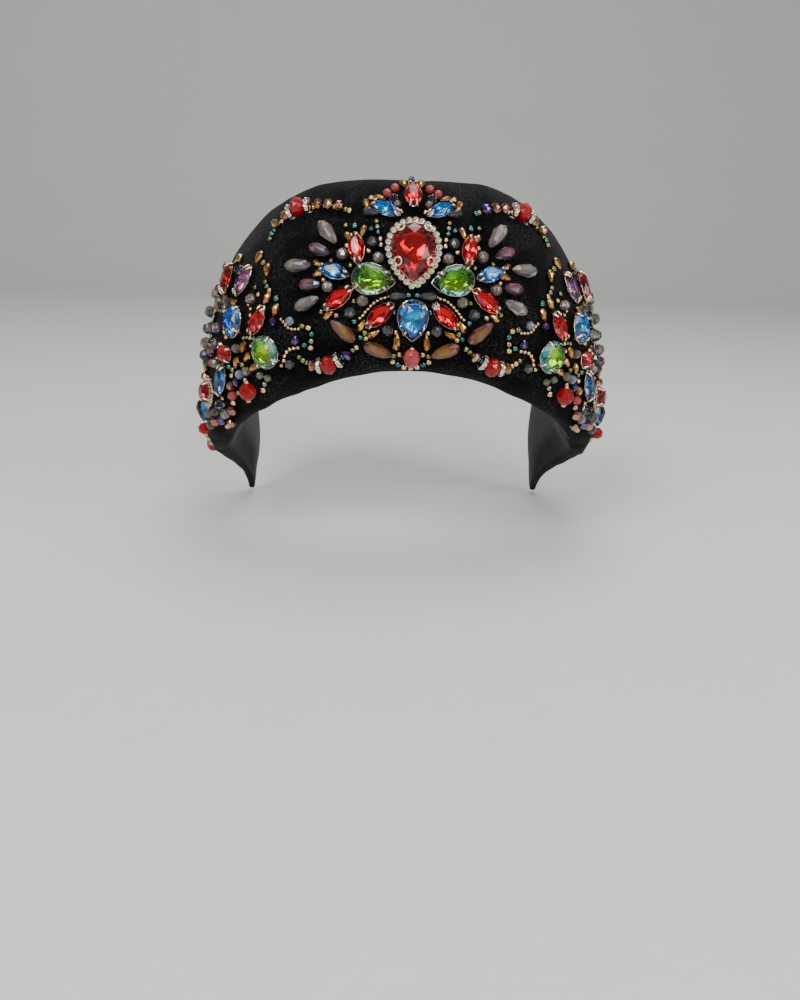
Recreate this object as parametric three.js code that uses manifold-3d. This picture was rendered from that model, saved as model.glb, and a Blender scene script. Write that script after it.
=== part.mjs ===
// Kokoshnik headdress: a padded velvet band, open at the back, sewn with cut stones in metal cups,
// crystal drops and strings of beads. Millimetres, +Z up, the front faces -Y, +X is the viewer's right.
// The origin lies midway between the two tapered ends, on the line that joins them.
import * as THREE from 'three';
import { mergeVertices } from 'three/addons/utils/BufferGeometryUtils.js';
import Module from 'manifold-3d';

const wasm = await Module();
wasm.setup();

// Band. Its arches lie in planes that fan out from the line through both ends: the fan angle is 0 to the
// front and 90 straight up. The side angle runs along an arch: 0 on the centre line, 90 at the widest place.
const HALF_WIDTH = 92.5;
const END_HALF = 79;
const LEG_REACH = 84;
const END_REACH = 2;
const SIDE_WIDEST = 90;
const SIDE_END = 134;
const CENTRE_REACH = [
  { fan: 24, reach: 122 },
  { fan: 34, reach: 146 },
  { fan: 42, reach: 165 },
  { fan: 50, reach: 180 },
  { fan: 57, reach: 188 },
  { fan: 66, reach: 188 },
  { fan: 78, reach: 179 },
  { fan: 96, reach: 162 },
];
const BROW_FAN = { middle: 34.5, side: 29, end: 34, sideAt: 75, leaveAt: 85 };
const CROWN_FAN = { middle: 62.5, side: 95, sideAt: 95 };
const WALL = 20;
const END_WALL = 5;
const WALL_TAPER = 60;
const SECTION_POWER = 3;
const BAND_STEPS = 40;
const FACE_STEPS = 12;

// Gaps: stones and beads sit just off the velvet
const SEAT_GAP = 0.3;

// Cut stones and their cups: share of the outline and share of the height at each level
const STONE_LEVELS = [
  { level: 'foot', outline: 0.8, height: 0 },
  { level: 'rim', outline: 1, height: 0.4 },
  { level: 'girdle', outline: 0.93, height: 0.44 },
  { level: 'crown', outline: 0.8, height: 0.76 },
  { level: 'table', outline: 0.54, height: 1 },
];
const STONE_SIDES = 10;
const LARGE_STONE_SIDES = 16;
const POINT_POWER = 1.7;
const PEAR_HEAD = 0.4;

// Claws that hold the larger stones
const CLAW = { width: 1.3, foot: 0.3, tip: 0.88, reach: 0.76, thick: 0.9 };

// Rings of small set crystals around a stone
const HALO = { width: 2.5, plate: 1.2, crystal: 2.2, rise: 2, table: 0.55, pitch: 2.6, sides: 6 };

// Crystal drops, lying on the velvet: share of the length from the thin end, share of the radius
const DROP_LEVELS = [
  { along: 0, radius: 0.26 },
  { along: 0.2, radius: 0.66 },
  { along: 0.62, radius: 1 },
  { along: 0.88, radius: 0.72 },
  { along: 1, radius: 0.3 },
];
const DROP_SIDES = 8;

// Beads: share of the length and of the radius at each level; a string's thread joins their ends
const BEAD_LEVELS = [
  { along: 0, radius: 0.2 },
  { along: 0.24, radius: 0.96 },
  { along: 0.76, radius: 0.96 },
  { along: 1, radius: 0.2 },
];
const BEAD_SIDES = 10;
const THREAD_RADIUS = 0.6;
const ROUTE_SAMPLES = 400;

// Looks of the pieces
const FINISH = {
  velvet: { color: 0x16161a, roughness: 0.95, metalness: 0 },
  red: { color: 0xc01a28, roughness: 0.12, metalness: 0 },
  green: { color: 0x3fa05a, roughness: 0.12, metalness: 0 },
  blue: { color: 0x2f5fc4, roughness: 0.12, metalness: 0 },
  teal: { color: 0x2a98b8, roughness: 0.12, metalness: 0 },
  lilac: { color: 0xd8b4cc, roughness: 0.1, metalness: 0 },
  grey: { color: 0x9c9890, roughness: 0.1, metalness: 0 },
  mauve: { color: 0x9a6a72, roughness: 0.1, metalness: 0 },
  amber: { color: 0xa87848, roughness: 0.1, metalness: 0 },
  coral: { color: 0xc42a30, roughness: 0.3, metalness: 0 },
  pearly: { color: 0xb8a888, roughness: 0.25, metalness: 0.4 },
};

// Stones on the centre line: fan angle of the middle, width, length, height; points are down
const CENTRE_STONES = [
  { name: 'navette_top', cut: 'navette', finish: 'red', fan: 55.9, width: 7.6, length: 14, height: 4.4 },
  { name: 'pear_centre', cut: 'pear', finish: 'red', fan: 48.7, width: 17.6, length: 24, height: 7.4,
    large: true, claws: true, halo: true },
  { name: 'pear_blue', cut: 'pear', finish: 'blue', fan: 41.6, width: 12.6, length: 16.4, height: 6,
    large: true, claws: true },
];

// Stones of one half, mirrored to the other. Turn is the long axis' lean from the fan direction, outwards;
// a pear's point is at its lower end
const PAIRED_STONES = [
  { name: 'navette_blue_top', cut: 'navette', finish: 'blue', side: 6.6, fan: 54,
    turn: 60, width: 6.2, length: 13.6, height: 4 },
  { name: 'pear_green', cut: 'pear', finish: 'green', side: 9.5, fan: 46,
    turn: 82, width: 12.6, length: 17.6, height: 6, large: true, claws: true },
  { name: 'navette_red_upper', cut: 'navette', finish: 'red', side: 13.7, fan: 49.7,
    turn: 8, width: 6.8, length: 13.5, height: 4.4 },
  { name: 'navette_blue_side', cut: 'navette', finish: 'blue', side: 19.3, fan: 47.6,
    turn: 70, width: 6.4, length: 13.5, height: 4.2 },
  { name: 'navette_red_mid', cut: 'navette', finish: 'red', side: 18.2, fan: 44.5,
    turn: 127, width: 6.8, length: 15, height: 4.4 },
  { name: 'navette_red_lower', cut: 'navette', finish: 'red', side: 8, fan: 42.2,
    turn: 132, width: 6.8, length: 15, height: 4.4 },
  { name: 'side_navette_red', cut: 'navette', finish: 'red', side: 54.8, fan: 56,
    turn: -24, width: 6.8, length: 15, height: 4.4 },
  { name: 'side_navette_lilac', cut: 'navette', finish: 'lilac', side: 46.8, fan: 52,
    turn: -46, width: 6.8, length: 15, height: 4.4 },
  { name: 'side_oval_blue', cut: 'oval', finish: 'blue', side: 50.8, fan: 47,
    turn: 0, width: 10.8, length: 14.2, height: 5.4, large: true },
  { name: 'side_navette_inner', cut: 'navette', finish: 'red', side: 41.6, fan: 44.9,
    turn: -34, width: 6.8, length: 14, height: 4.4 },
  { name: 'side_oval_green', cut: 'oval', finish: 'green', side: 39.2, fan: 40.4,
    turn: 20, width: 12.8, length: 13.8, height: 5.8, large: true },
  { name: 'side_oval_red', cut: 'oval', finish: 'red', side: 55.6, fan: 43.2,
    turn: 75, width: 7.5, length: 9.5, height: 4.2 },
  { name: 'side_navette_teal', cut: 'navette', finish: 'teal', side: 58.6, fan: 39.6,
    turn: -20, width: 6.8, length: 15, height: 4.4 },
  { name: 'side_halo_red', cut: 'oval', finish: 'red', side: 69, fan: 40,
    turn: 0, width: 8, length: 10, height: 5, plate: true },
];

// Crystal drops of one half, mirrored to the other. Turn is the thick end's lean from the fan direction
const PAIRED_DROPS = [
  { name: 'drop_upper', finish: 'grey', side: 20.7, fan: 52.2, turn: 35, width: 6, length: 12 },
  { name: 'drop_wine', finish: 'mauve', side: 22.8, fan: 50.4, turn: 65, width: 5.4, length: 9.5 },
  { name: 'drop_outer', finish: 'grey', side: 28.6, fan: 49.4, turn: 85, width: 5.8, length: 11.5 },
  { name: 'drop_mid', finish: 'mauve', side: 25.4, fan: 46.7, turn: 92, width: 5.4, length: 8.5 },
  { name: 'drop_champagne', finish: 'grey', side: 26.3, fan: 44.7, turn: 112, width: 5.6, length: 10.5 },
  { name: 'drop_lower', finish: 'amber', side: 17, fan: 40.9, turn: -130, width: 5.8, length: 12 },
  { name: 'drop_brow', finish: 'amber', side: 8.3, fan: 38.5, turn: 70, width: 5.8, length: 11.5 },
];

// Single round beads
const CENTRE_BEADS = [
  { name: 'bead_brow', finish: 'coral', fan: 37.7, diameter: 7, length: 7.2 },
];
const PAIRED_BEADS = [
  { name: 'side_bead_red', finish: 'coral', side: 45.8, fan: 36, diameter: 7.6, length: 7 },
];

// Bead strings of one half: places that the thread passes and the beads in order, each with the room that
// it takes up along the thread; a rondelle's room holds its two spacers
const ROUND_BEAD = { diameter: 5, length: 4.6, room: 4.9 };
const SMALL_BEAD = { diameter: 4, length: 3.6, room: 3.9 };
const RONDELLE = { diameter: 8, length: 5.6, room: 10.6 };
const STRINGS = [
  { name: 'string_upper', finish: 'pearly',
    places: [
      { side: 12.2, fan: 53.2 }, { side: 17, fan: 55 }, { side: 23, fan: 56.6 }, { side: 29.3, fan: 57.4 },
      { side: 34, fan: 57.4 }, { side: 37.3, fan: 56.2 }, { side: 39.2, fan: 53.8 },
    ],
    beads: [SMALL_BEAD, ROUND_BEAD, ROUND_BEAD, ROUND_BEAD, RONDELLE, ROUND_BEAD, ROUND_BEAD, SMALL_BEAD] },
  { name: 'string_lower', finish: 'pearly',
    places: [
      { side: 13.4, fan: 39 }, { side: 17.6, fan: 37.9 }, { side: 21.4, fan: 37.4 }, { side: 26, fan: 37.6 },
      { side: 29.4, fan: 38.8 },
    ],
    beads: [SMALL_BEAD, ROUND_BEAD, RONDELLE, ROUND_BEAD, SMALL_BEAD] },
  { name: 'string_end', finish: 'pearly',
    places: [
      { side: 82, fan: 39 }, { side: 94, fan: 40.5 }, { side: 107, fan: 43 }, { side: 120, fan: 48 },
      { side: 130, fan: 56 },
    ],
    beads: [ROUND_BEAD, ROUND_BEAD, RONDELLE, ROUND_BEAD, SMALL_BEAD, SMALL_BEAD, SMALL_BEAD] },
];

const HALVES = [{ suffix: 'r', sign: 1 }, { suffix: 'l', sign: -1 }];
const STEP = 0.4;

const radians = THREE.MathUtils.degToRad;
const lerp = THREE.MathUtils.lerp;
const clamp = THREE.MathUtils.clamp;
const ease = (value) => THREE.MathUtils.smoothstep(value, 0, 1);

// Reach of the outer face on the centre line: a smooth curve through the table's rows
function centreReach(fan) {
  const rows = CENTRE_REACH;
  const last = rows.length - 1;
  let index = 0;
  while (index < last - 1 && fan > rows[index + 1].fan) index += 1;
  const slope = (at) => {
    const before = rows[Math.max(at - 1, 0)];
    const after = rows[Math.min(at + 1, last)];
    return (after.reach - before.reach) / (after.fan - before.fan);
  };
  const [from, to] = [rows[index], rows[index + 1]];
  const span = to.fan - from.fan;
  const t = (fan - from.fan) / span;
  const fromWeight = (1 + 2 * t) * (1 - t) ** 2;
  const bend = span * (t * (1 - t) ** 2 * slope(index) - t * t * (1 - t) * slope(index + 1));
  return fromWeight * from.reach + (1 - fromWeight) * to.reach + bend;
}

// Fan angles of the brow edge and of the crown edge
function browFan(side) {
  const toSide = ease(Math.abs(side) / BROW_FAN.sideAt);
  const toEnd = ease((Math.abs(side) - BROW_FAN.leaveAt) / (SIDE_END - BROW_FAN.leaveAt));
  return lerp(BROW_FAN.middle, BROW_FAN.side, toSide) + (BROW_FAN.end - BROW_FAN.side) * toEnd;
}

function crownFan(side) {
  return lerp(CROWN_FAN.middle, CROWN_FAN.side, ease(Math.abs(side) / CROWN_FAN.sideAt));
}

// Point of the outer face: a quarter ellipse up to the widest place, then a leg that draws in to the end
function facePoint(side, fan) {
  const turn = Math.min(Math.abs(side), SIDE_END);
  let x;
  let reach;
  if (turn <= SIDE_WIDEST) {
    x = HALF_WIDTH * Math.sin(radians(turn));
    reach = lerp(LEG_REACH, centreReach(fan), Math.cos(radians(turn)));
  } else {
    const along = (turn - SIDE_WIDEST) / (SIDE_END - SIDE_WIDEST);
    x = lerp(HALF_WIDTH, END_HALF, ease(along));
    reach = lerp(LEG_REACH, END_REACH, along);
  }
  const angle = radians(fan);
  return new THREE.Vector3(Math.sign(side) * x, -reach * Math.cos(angle), reach * Math.sin(angle));
}

function normalOf(surface, side, fan) {
  const along = surface(side + STEP, fan).sub(surface(side - STEP, fan));
  const across = surface(side, fan + STEP).sub(surface(side, fan - STEP));
  return along.cross(across).normalize();
}

function wallAt(side) {
  const left = clamp((SIDE_END - Math.abs(side)) / WALL_TAPER, 0, 1);
  return lerp(END_WALL, WALL, Math.sin(left * Math.PI / 2));
}

// Rounding of the padded edges: 1 in the middle of the wall's width, 0 on its edges
function swell(across) {
  return (1 - Math.abs(across) ** SECTION_POWER) ** (1 / SECTION_POWER);
}

// Point of the padded front, set back from the outer face towards the edges
function skinPoint(side, fan) {
  const [low, high] = [browFan(side), crownFan(side)];
  const across = clamp((2 * (fan - low)) / (high - low) - 1, -1, 1);
  const depth = (wallAt(side) / 2) * (1 - swell(across));
  return facePoint(side, fan).addScaledVector(normalOf(facePoint, side, fan), -depth);
}

// Closed body through rings of points, with a fan of triangles on each end, facing out
function loft(rings) {
  const count = rings[0].length;
  const middle = (ring) => ring.reduce((sum, p) => sum.add(p), new THREE.Vector3()).divideScalar(count);
  const points = [...rings.flat(), middle(rings[0]), middle(rings.at(-1))];
  const first = rings.length * count;
  const top = first - count;
  const triangles = [];
  for (let i = 0; i < count; i += 1) {
    const next = (i + 1) % count;
    for (let base = 0; base < top; base += count) {
      triangles.push([base + i, base + next, base + count + next]);
      triangles.push([base + i, base + count + next, base + count + i]);
    }
    triangles.push([first, next, i], [first + 1, top + i, top + next]);
  }
  const volume = triangles.reduce((sum, [a, b, c]) => {
    const normal = points[b].clone().cross(points[c]);
    return sum + points[a].dot(normal);
  }, 0);
  const facing = volume > 0 ? triangles : triangles.map(([a, b, c]) => [a, c, b]);
  const geometry = new THREE.BufferGeometry();
  geometry.setAttribute('position', new THREE.Float32BufferAttribute(points.flatMap((p) => p.toArray()), 3));
  geometry.setIndex(facing.flat());
  return geometry;
}

// Joins closed geometries into one body
function toSolid(geometry) {
  const bare = geometry.clone();
  bare.deleteAttribute('normal');
  bare.deleteAttribute('uv');
  const merged = mergeVertices(bare);
  return new wasm.Manifold(new wasm.Mesh({
    numProp: 3,
    vertProperties: new Float32Array(merged.attributes.position.array),
    triVerts: new Uint32Array(merged.index.array),
  }));
}

function fuse(geometries) {
  const solid = geometries.map(toSolid).reduce((whole, piece) => whole.add(piece));
  const { vertProperties, triVerts } = solid.getMesh();
  const geometry = new THREE.BufferGeometry();
  geometry.setAttribute('position', new THREE.Float32BufferAttribute(vertProperties, 3));
  geometry.setIndex(new THREE.Uint32BufferAttribute(triVerts, 1));
  return geometry;
}

function paint(name, finish, geometry) {
  geometry.computeVertexNormals();
  const mesh = new THREE.Mesh(geometry, new THREE.MeshStandardMaterial(FINISH[finish]));
  mesh.name = name;
  return mesh;
}

// Velvet band: padded sections along the arch
function bandSection(side) {
  const [low, high] = [browFan(side), crownFan(side)];
  const half = wallAt(side) / 2;
  const ring = [];
  for (let step = 0; step < 2 * FACE_STEPS; step += 1) {
    const across = -Math.cos(Math.PI * step / FACE_STEPS);
    const fan = lerp(low, high, (1 + across) / 2);
    const facing = step <= FACE_STEPS ? 1 : -1;
    const depth = half * (1 - facing * swell(across));
    ring.push(facePoint(side, fan).addScaledVector(normalOf(facePoint, side, fan), -depth));
  }
  return ring;
}

function velvetBand() {
  const sections = [];
  for (let step = 0; step <= BAND_STEPS; step += 1) {
    sections.push(bandSection(lerp(-SIDE_END, SIDE_END, step / BAND_STEPS)));
  }
  return paint('velvet_band', 'velvet', loft(sections));
}

// Outlines of the cuts, in the plane of the girdle, with the point of a pear at -Y
function outlinePoint(cut, width, length, angle) {
  const [c, s] = [Math.cos(angle), Math.sin(angle)];
  const pointed = Math.sign(c) * Math.abs(c) ** POINT_POWER;
  if (cut === 'navette') return new THREE.Vector2((width / 2) * pointed, (length / 2) * s);
  if (cut === 'oval') return new THREE.Vector2((width / 2) * c, (length / 2) * s);
  const half = s > 0 ? PEAR_HEAD : 1 - PEAR_HEAD;
  return new THREE.Vector2((width / 2) * (s > 0 ? c : pointed), length * (half * s + 0.5 - PEAR_HEAD));
}

function outline(stone, sides) {
  const points = [];
  for (let i = 0; i < sides; i += 1) {
    points.push(outlinePoint(stone.cut, stone.width, stone.length, (2 * Math.PI * i) / sides));
  }
  return points;
}

function cutStone(stone, sides) {
  const edge = outline(stone, sides);
  return loft(STONE_LEVELS.map((row) => edge.map((p) => (
    new THREE.Vector3(p.x * row.outline, p.y * row.outline, stone.height * row.height)))));
}

// Four claws that rise from the cup and bend over the crown
function claws(stone) {
  return [45, 135, 225, 315].map((angle) => {
    const foot = outlinePoint(stone.cut, stone.width, stone.length, radians(angle));
    const across = new THREE.Vector2(-foot.y, foot.x).setLength(CLAW.width / 2);
    const outwards = foot.clone().setLength(CLAW.thick / 2);
    const level = (share, height) => {
      const spot = foot.clone().multiplyScalar(share);
      return [[-1, -1], [1, -1], [1, 1], [-1, 1]].map(([a, b]) => new THREE.Vector3(
        spot.x + a * across.x + b * outwards.x,
        spot.y + a * across.y + b * outwards.y,
        stone.height * height));
    };
    return loft([level(1, CLAW.foot), level(CLAW.reach, CLAW.tip)]);
  });
}

// Plate around a stone, and the ring of small set crystals on it
function haloPlate(stone) {
  const grown = { ...stone, width: stone.width + 2 * HALO.width, length: stone.length + 2 * HALO.width };
  const plateEdge = outline(grown, LARGE_STONE_SIDES);
  return loft([0, HALO.plate].map((z) => plateEdge.map((p) => new THREE.Vector3(p.x, p.y, z))));
}

function halo(stone) {
  const middle = { ...stone, width: stone.width + HALO.width, length: stone.length + HALO.width };
  const route = new THREE.CatmullRomCurve3(
    outline(middle, 4 * LARGE_STONE_SIDES).map((p) => new THREE.Vector3(p.x, p.y, 0)), true);
  const count = Math.round(route.getLength() / HALO.pitch);
  const crystals = [];
  for (let i = 0; i < count; i += 1) {
    const spot = route.getPointAt(i / count);
    const ring = (radius, z) => circle(HALO.sides, radius, 0)
      .map((p) => new THREE.Vector3(spot.x + p.x, spot.y + p.z, z));
    const radius = HALO.crystal / 2;
    crystals.push(loft([ring(radius, HALO.plate / 2), ring(radius * HALO.table, HALO.rise)]));
  }
  return crystals;
}

function stoneGeometry(stone) {
  const pieces = [cutStone(stone, stone.large ? LARGE_STONE_SIDES : STONE_SIDES)];
  if (stone.claws) pieces.push(...claws(stone));
  if (stone.plate || stone.halo) pieces.push(haloPlate(stone));
  if (stone.halo) pieces.push(...halo(stone));
  return pieces.length > 1 ? fuse(pieces) : pieces[0];
}

// Ring of points around the Y axis, with flats on both sides of it
function circle(sides, radius, y) {
  return Array.from({ length: sides }, (_, i) => {
    const angle = (2 * Math.PI * (i + 0.5)) / sides;
    return new THREE.Vector3(radius * Math.sin(angle), y, radius * Math.cos(angle));
  });
}

// Turned body along Y, from rows of length and radius
function turned(levels, sides, diameter, length) {
  return loft(levels.map((row) => circle(sides, (diameter / 2) * row.radius, length * (row.along - 0.5))));
}

// Sets a mesh on the velvet: Z along the normal, Y along the fan direction leant outwards by the turn
function seat(mesh, side, fan, turn, lift) {
  const normal = normalOf(skinPoint, side, fan);
  const up = skinPoint(side, fan + STEP).sub(skinPoint(side, fan - STEP));
  up.addScaledVector(normal, -up.dot(normal)).normalize();
  up.applyAxisAngle(normal, -radians(turn));
  const right = up.clone().cross(normal);
  mesh.setRotationFromMatrix(new THREE.Matrix4().makeBasis(right, up, normal));
  mesh.position.copy(skinPoint(side, fan)).addScaledVector(normal, lift);
  return mesh;
}

// Lift that lays the flats of a turned body on the velvet
function restLift(diameter, sides) {
  return (diameter / 2) * Math.cos(Math.PI / sides) + SEAT_GAP;
}

// Bead string: beads in order along a route on the velvet, one body with the thread between them
function beadString(string, sign) {
  const angles = new THREE.CatmullRomCurve3(
    string.places.map(({ side, fan }) => new THREE.Vector3(sign * side, fan, 0))).getPoints(ROUTE_SAMPLES);
  const route = angles.map(({ x, y }) => skinPoint(x, y));
  const travelled = [0];
  route.slice(1).forEach((point, i) => travelled.push(travelled[i] + point.distanceTo(route[i])));
  const needed = string.beads.reduce((sum, bead) => sum + bead.room, 0);
  let used = (travelled.at(-1) - needed) / 2;
  const centres = string.beads.map((bead) => {
    const middle = used + bead.room / 2;
    used += bead.room;
    const { x, y } = angles[travelled.findIndex((length) => length >= middle)];
    return skinPoint(x, y).addScaledVector(normalOf(skinPoint, x, y), restLift(bead.diameter, BEAD_SIDES));
  });
  const thread = new THREE.CatmullRomCurve3(centres);
  return loft(string.beads.flatMap((bead, i) => {
    const along = thread.getTangent(i / (centres.length - 1));
    const turn = new THREE.Quaternion().setFromUnitVectors(new THREE.Vector3(0, 1, 0), along);
    return BEAD_LEVELS.map((row) => {
      const radius = Math.max(THREAD_RADIUS, (bead.diameter / 2) * row.radius);
      return circle(BEAD_SIDES, radius, bead.length * (row.along - 0.5))
        .map((p) => p.applyQuaternion(turn).add(centres[i]));
    });
  }));
}

const headdress = new THREE.Group();
headdress.add(velvetBand());
for (const stone of CENTRE_STONES) {
  headdress.add(seat(paint(stone.name, stone.finish, stoneGeometry(stone)), 0, stone.fan, 0, SEAT_GAP));
}
for (const bead of CENTRE_BEADS) {
  const body = turned(BEAD_LEVELS, BEAD_SIDES, bead.diameter, bead.length);
  const mesh = paint(bead.name, bead.finish, body);
  headdress.add(seat(mesh, 0, bead.fan, 0, restLift(bead.diameter, BEAD_SIDES)));
}
for (const { suffix, sign } of HALVES) {
  for (const stone of PAIRED_STONES) {
    const mesh = paint(`${stone.name}_${suffix}`, stone.finish, stoneGeometry(stone));
    headdress.add(seat(mesh, sign * stone.side, stone.fan, sign * stone.turn, SEAT_GAP));
  }
  for (const drop of PAIRED_DROPS) {
    const body = turned(DROP_LEVELS, DROP_SIDES, drop.width, drop.length);
    const mesh = paint(`${drop.name}_${suffix}`, drop.finish, body);
    headdress.add(seat(mesh, sign * drop.side, drop.fan, sign * drop.turn, restLift(drop.width, DROP_SIDES)));
  }
  for (const bead of PAIRED_BEADS) {
    const body = turned(BEAD_LEVELS, BEAD_SIDES, bead.diameter, bead.length);
    const mesh = paint(`${bead.name}_${suffix}`, bead.finish, body);
    headdress.add(seat(mesh, sign * bead.side, bead.fan, 0, restLift(bead.diameter, BEAD_SIDES)));
  }
  for (const string of STRINGS) {
    headdress.add(paint(`${string.name}_${suffix}`, string.finish, beadString(string, sign)));
  }
}

export default headdress;
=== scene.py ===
"""Dressed kokoshnik headdress: a padded velvet band sewn with claw-set stones, drops and strings of beads."""

import logging
import math
import random
from collections.abc import Callable, Iterable, Sequence
from dataclasses import dataclass, field
from enum import Enum
from typing import Any

import bmesh
import bpy
from mathutils import Matrix, Vector, noise
from mathutils.bvhtree import BVHTree


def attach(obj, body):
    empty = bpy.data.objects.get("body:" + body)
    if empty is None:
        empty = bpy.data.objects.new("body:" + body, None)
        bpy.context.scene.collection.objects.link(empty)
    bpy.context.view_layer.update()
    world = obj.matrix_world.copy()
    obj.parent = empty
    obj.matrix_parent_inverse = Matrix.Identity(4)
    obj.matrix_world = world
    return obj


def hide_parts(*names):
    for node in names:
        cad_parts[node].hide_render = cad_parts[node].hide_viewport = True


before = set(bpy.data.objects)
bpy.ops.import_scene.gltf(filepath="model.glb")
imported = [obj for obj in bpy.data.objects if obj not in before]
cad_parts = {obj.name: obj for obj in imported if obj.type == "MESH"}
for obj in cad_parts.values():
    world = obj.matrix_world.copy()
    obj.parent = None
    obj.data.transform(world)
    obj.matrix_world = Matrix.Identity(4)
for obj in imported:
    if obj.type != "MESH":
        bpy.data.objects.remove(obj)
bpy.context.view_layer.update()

LOG = logging.getLogger("headdress")
MM = 0.001
BODY = "root"
SEAT_GAP = 0.3
STEP = 0.4
HALVES = (("r", 1), ("l", -1))

Colour = tuple[float, float, float, float]


def lerp(start: float, end: float, share: float) -> float:
    """Value at a share of the way from start to end."""
    return start + (end - start) * share


def clamp(value: float, low: float = 0.0, high: float = 1.0) -> float:
    """Value held between low and high."""
    return max(low, min(high, value))


def ease(value: float) -> float:
    """Smooth step from 0 to 1."""
    share = clamp(value)
    return share * share * (3 - 2 * share)


def rgb(red: float, green: float, blue: float) -> Colour:
    """Opaque colour from three linear values."""
    return (red, green, blue, 1.0)


class Cut(Enum):
    """Outlines of the cut stones."""

    NAVETTE = "navette"
    OVAL = "oval"
    PEAR = "pear"


class Form(Enum):
    """Shapes of the small trimmings."""

    SEED = "seed"
    ROUND = "round"
    DROP = "drop"


# Node trees and finishes


class Tree:
    """Adds nodes and links to one shader tree."""

    def __init__(self, tree: bpy.types.NodeTree) -> None:
        """Keeps the tree that is worked on."""
        self.tree = tree

    def add(self, kind: str, inputs: dict[Any, Any] | None = None, **settings: Any) -> bpy.types.Node:
        """Adds a node.

        Args:
            kind: The node's type name.
            inputs: Values, or sockets to link, by input name or index.
            settings: Properties of the node.

        Returns:
            The new node.
        """
        node = self.tree.nodes.new(kind)
        for key, value in settings.items():
            setattr(node, key, value)
        for key, value in (inputs or {}).items():
            if isinstance(value, bpy.types.NodeSocket):
                self.tree.links.new(value, node.inputs[key])
            else:
                node.inputs[key].default_value = value
        return node

    def mix(self, share: Any, first: Any, second: Any, blend: str = "MIX") -> bpy.types.NodeSocket:
        """Mixes two colours.

        Args:
            share: Factor, a value or a socket.
            first: First colour or socket.
            second: Second colour or socket.
            blend: Way of blending.

        Returns:
            The mixed colour's socket.
        """
        node = self.add("ShaderNodeMix", data_type="RGBA", blend_type=blend)
        for index, value in ((0, share), (6, first), (7, second)):
            if isinstance(value, bpy.types.NodeSocket):
                self.tree.links.new(value, node.inputs[index])
            else:
                node.inputs[index].default_value = value
        return node.outputs[2]

    def sums(self, operation: str, *values: Any, hold: bool = False) -> bpy.types.NodeSocket:
        """Result of a math node on values or sockets."""
        node = self.add("ShaderNodeMath", dict(enumerate(values)), operation=operation, use_clamp=hold)
        return node.outputs[0]

    def span(self, value: Any, low: float, high: float, to_low: float,
             to_high: float) -> bpy.types.NodeSocket:
        """Value carried from one range to another, held at its ends."""
        node = self.add("ShaderNodeMapRange", {0: value, 1: low, 2: high, 3: to_low, 4: to_high})
        return node.outputs[0]

    def clouds(self, place: bpy.types.NodeSocket, scale: float, detail: float,
               twist: float = 0.0) -> bpy.types.NodeSocket:
        """Noise value at a place, with a scale in waves to the metre."""
        inputs = {"Vector": place, "Scale": scale, "Detail": detail, "Distortion": twist}
        return self.add("ShaderNodeTexNoise", inputs).outputs["Fac"]

    def value(self, name: str) -> bpy.types.NodeSocket:
        """Value of a mesh attribute."""
        return self.add("ShaderNodeAttribute", attribute_name=name).outputs["Fac"]

    def place(self) -> bpy.types.NodeSocket:
        """Object coordinates."""
        return self.add("ShaderNodeTexCoord").outputs["Object"]


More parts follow.
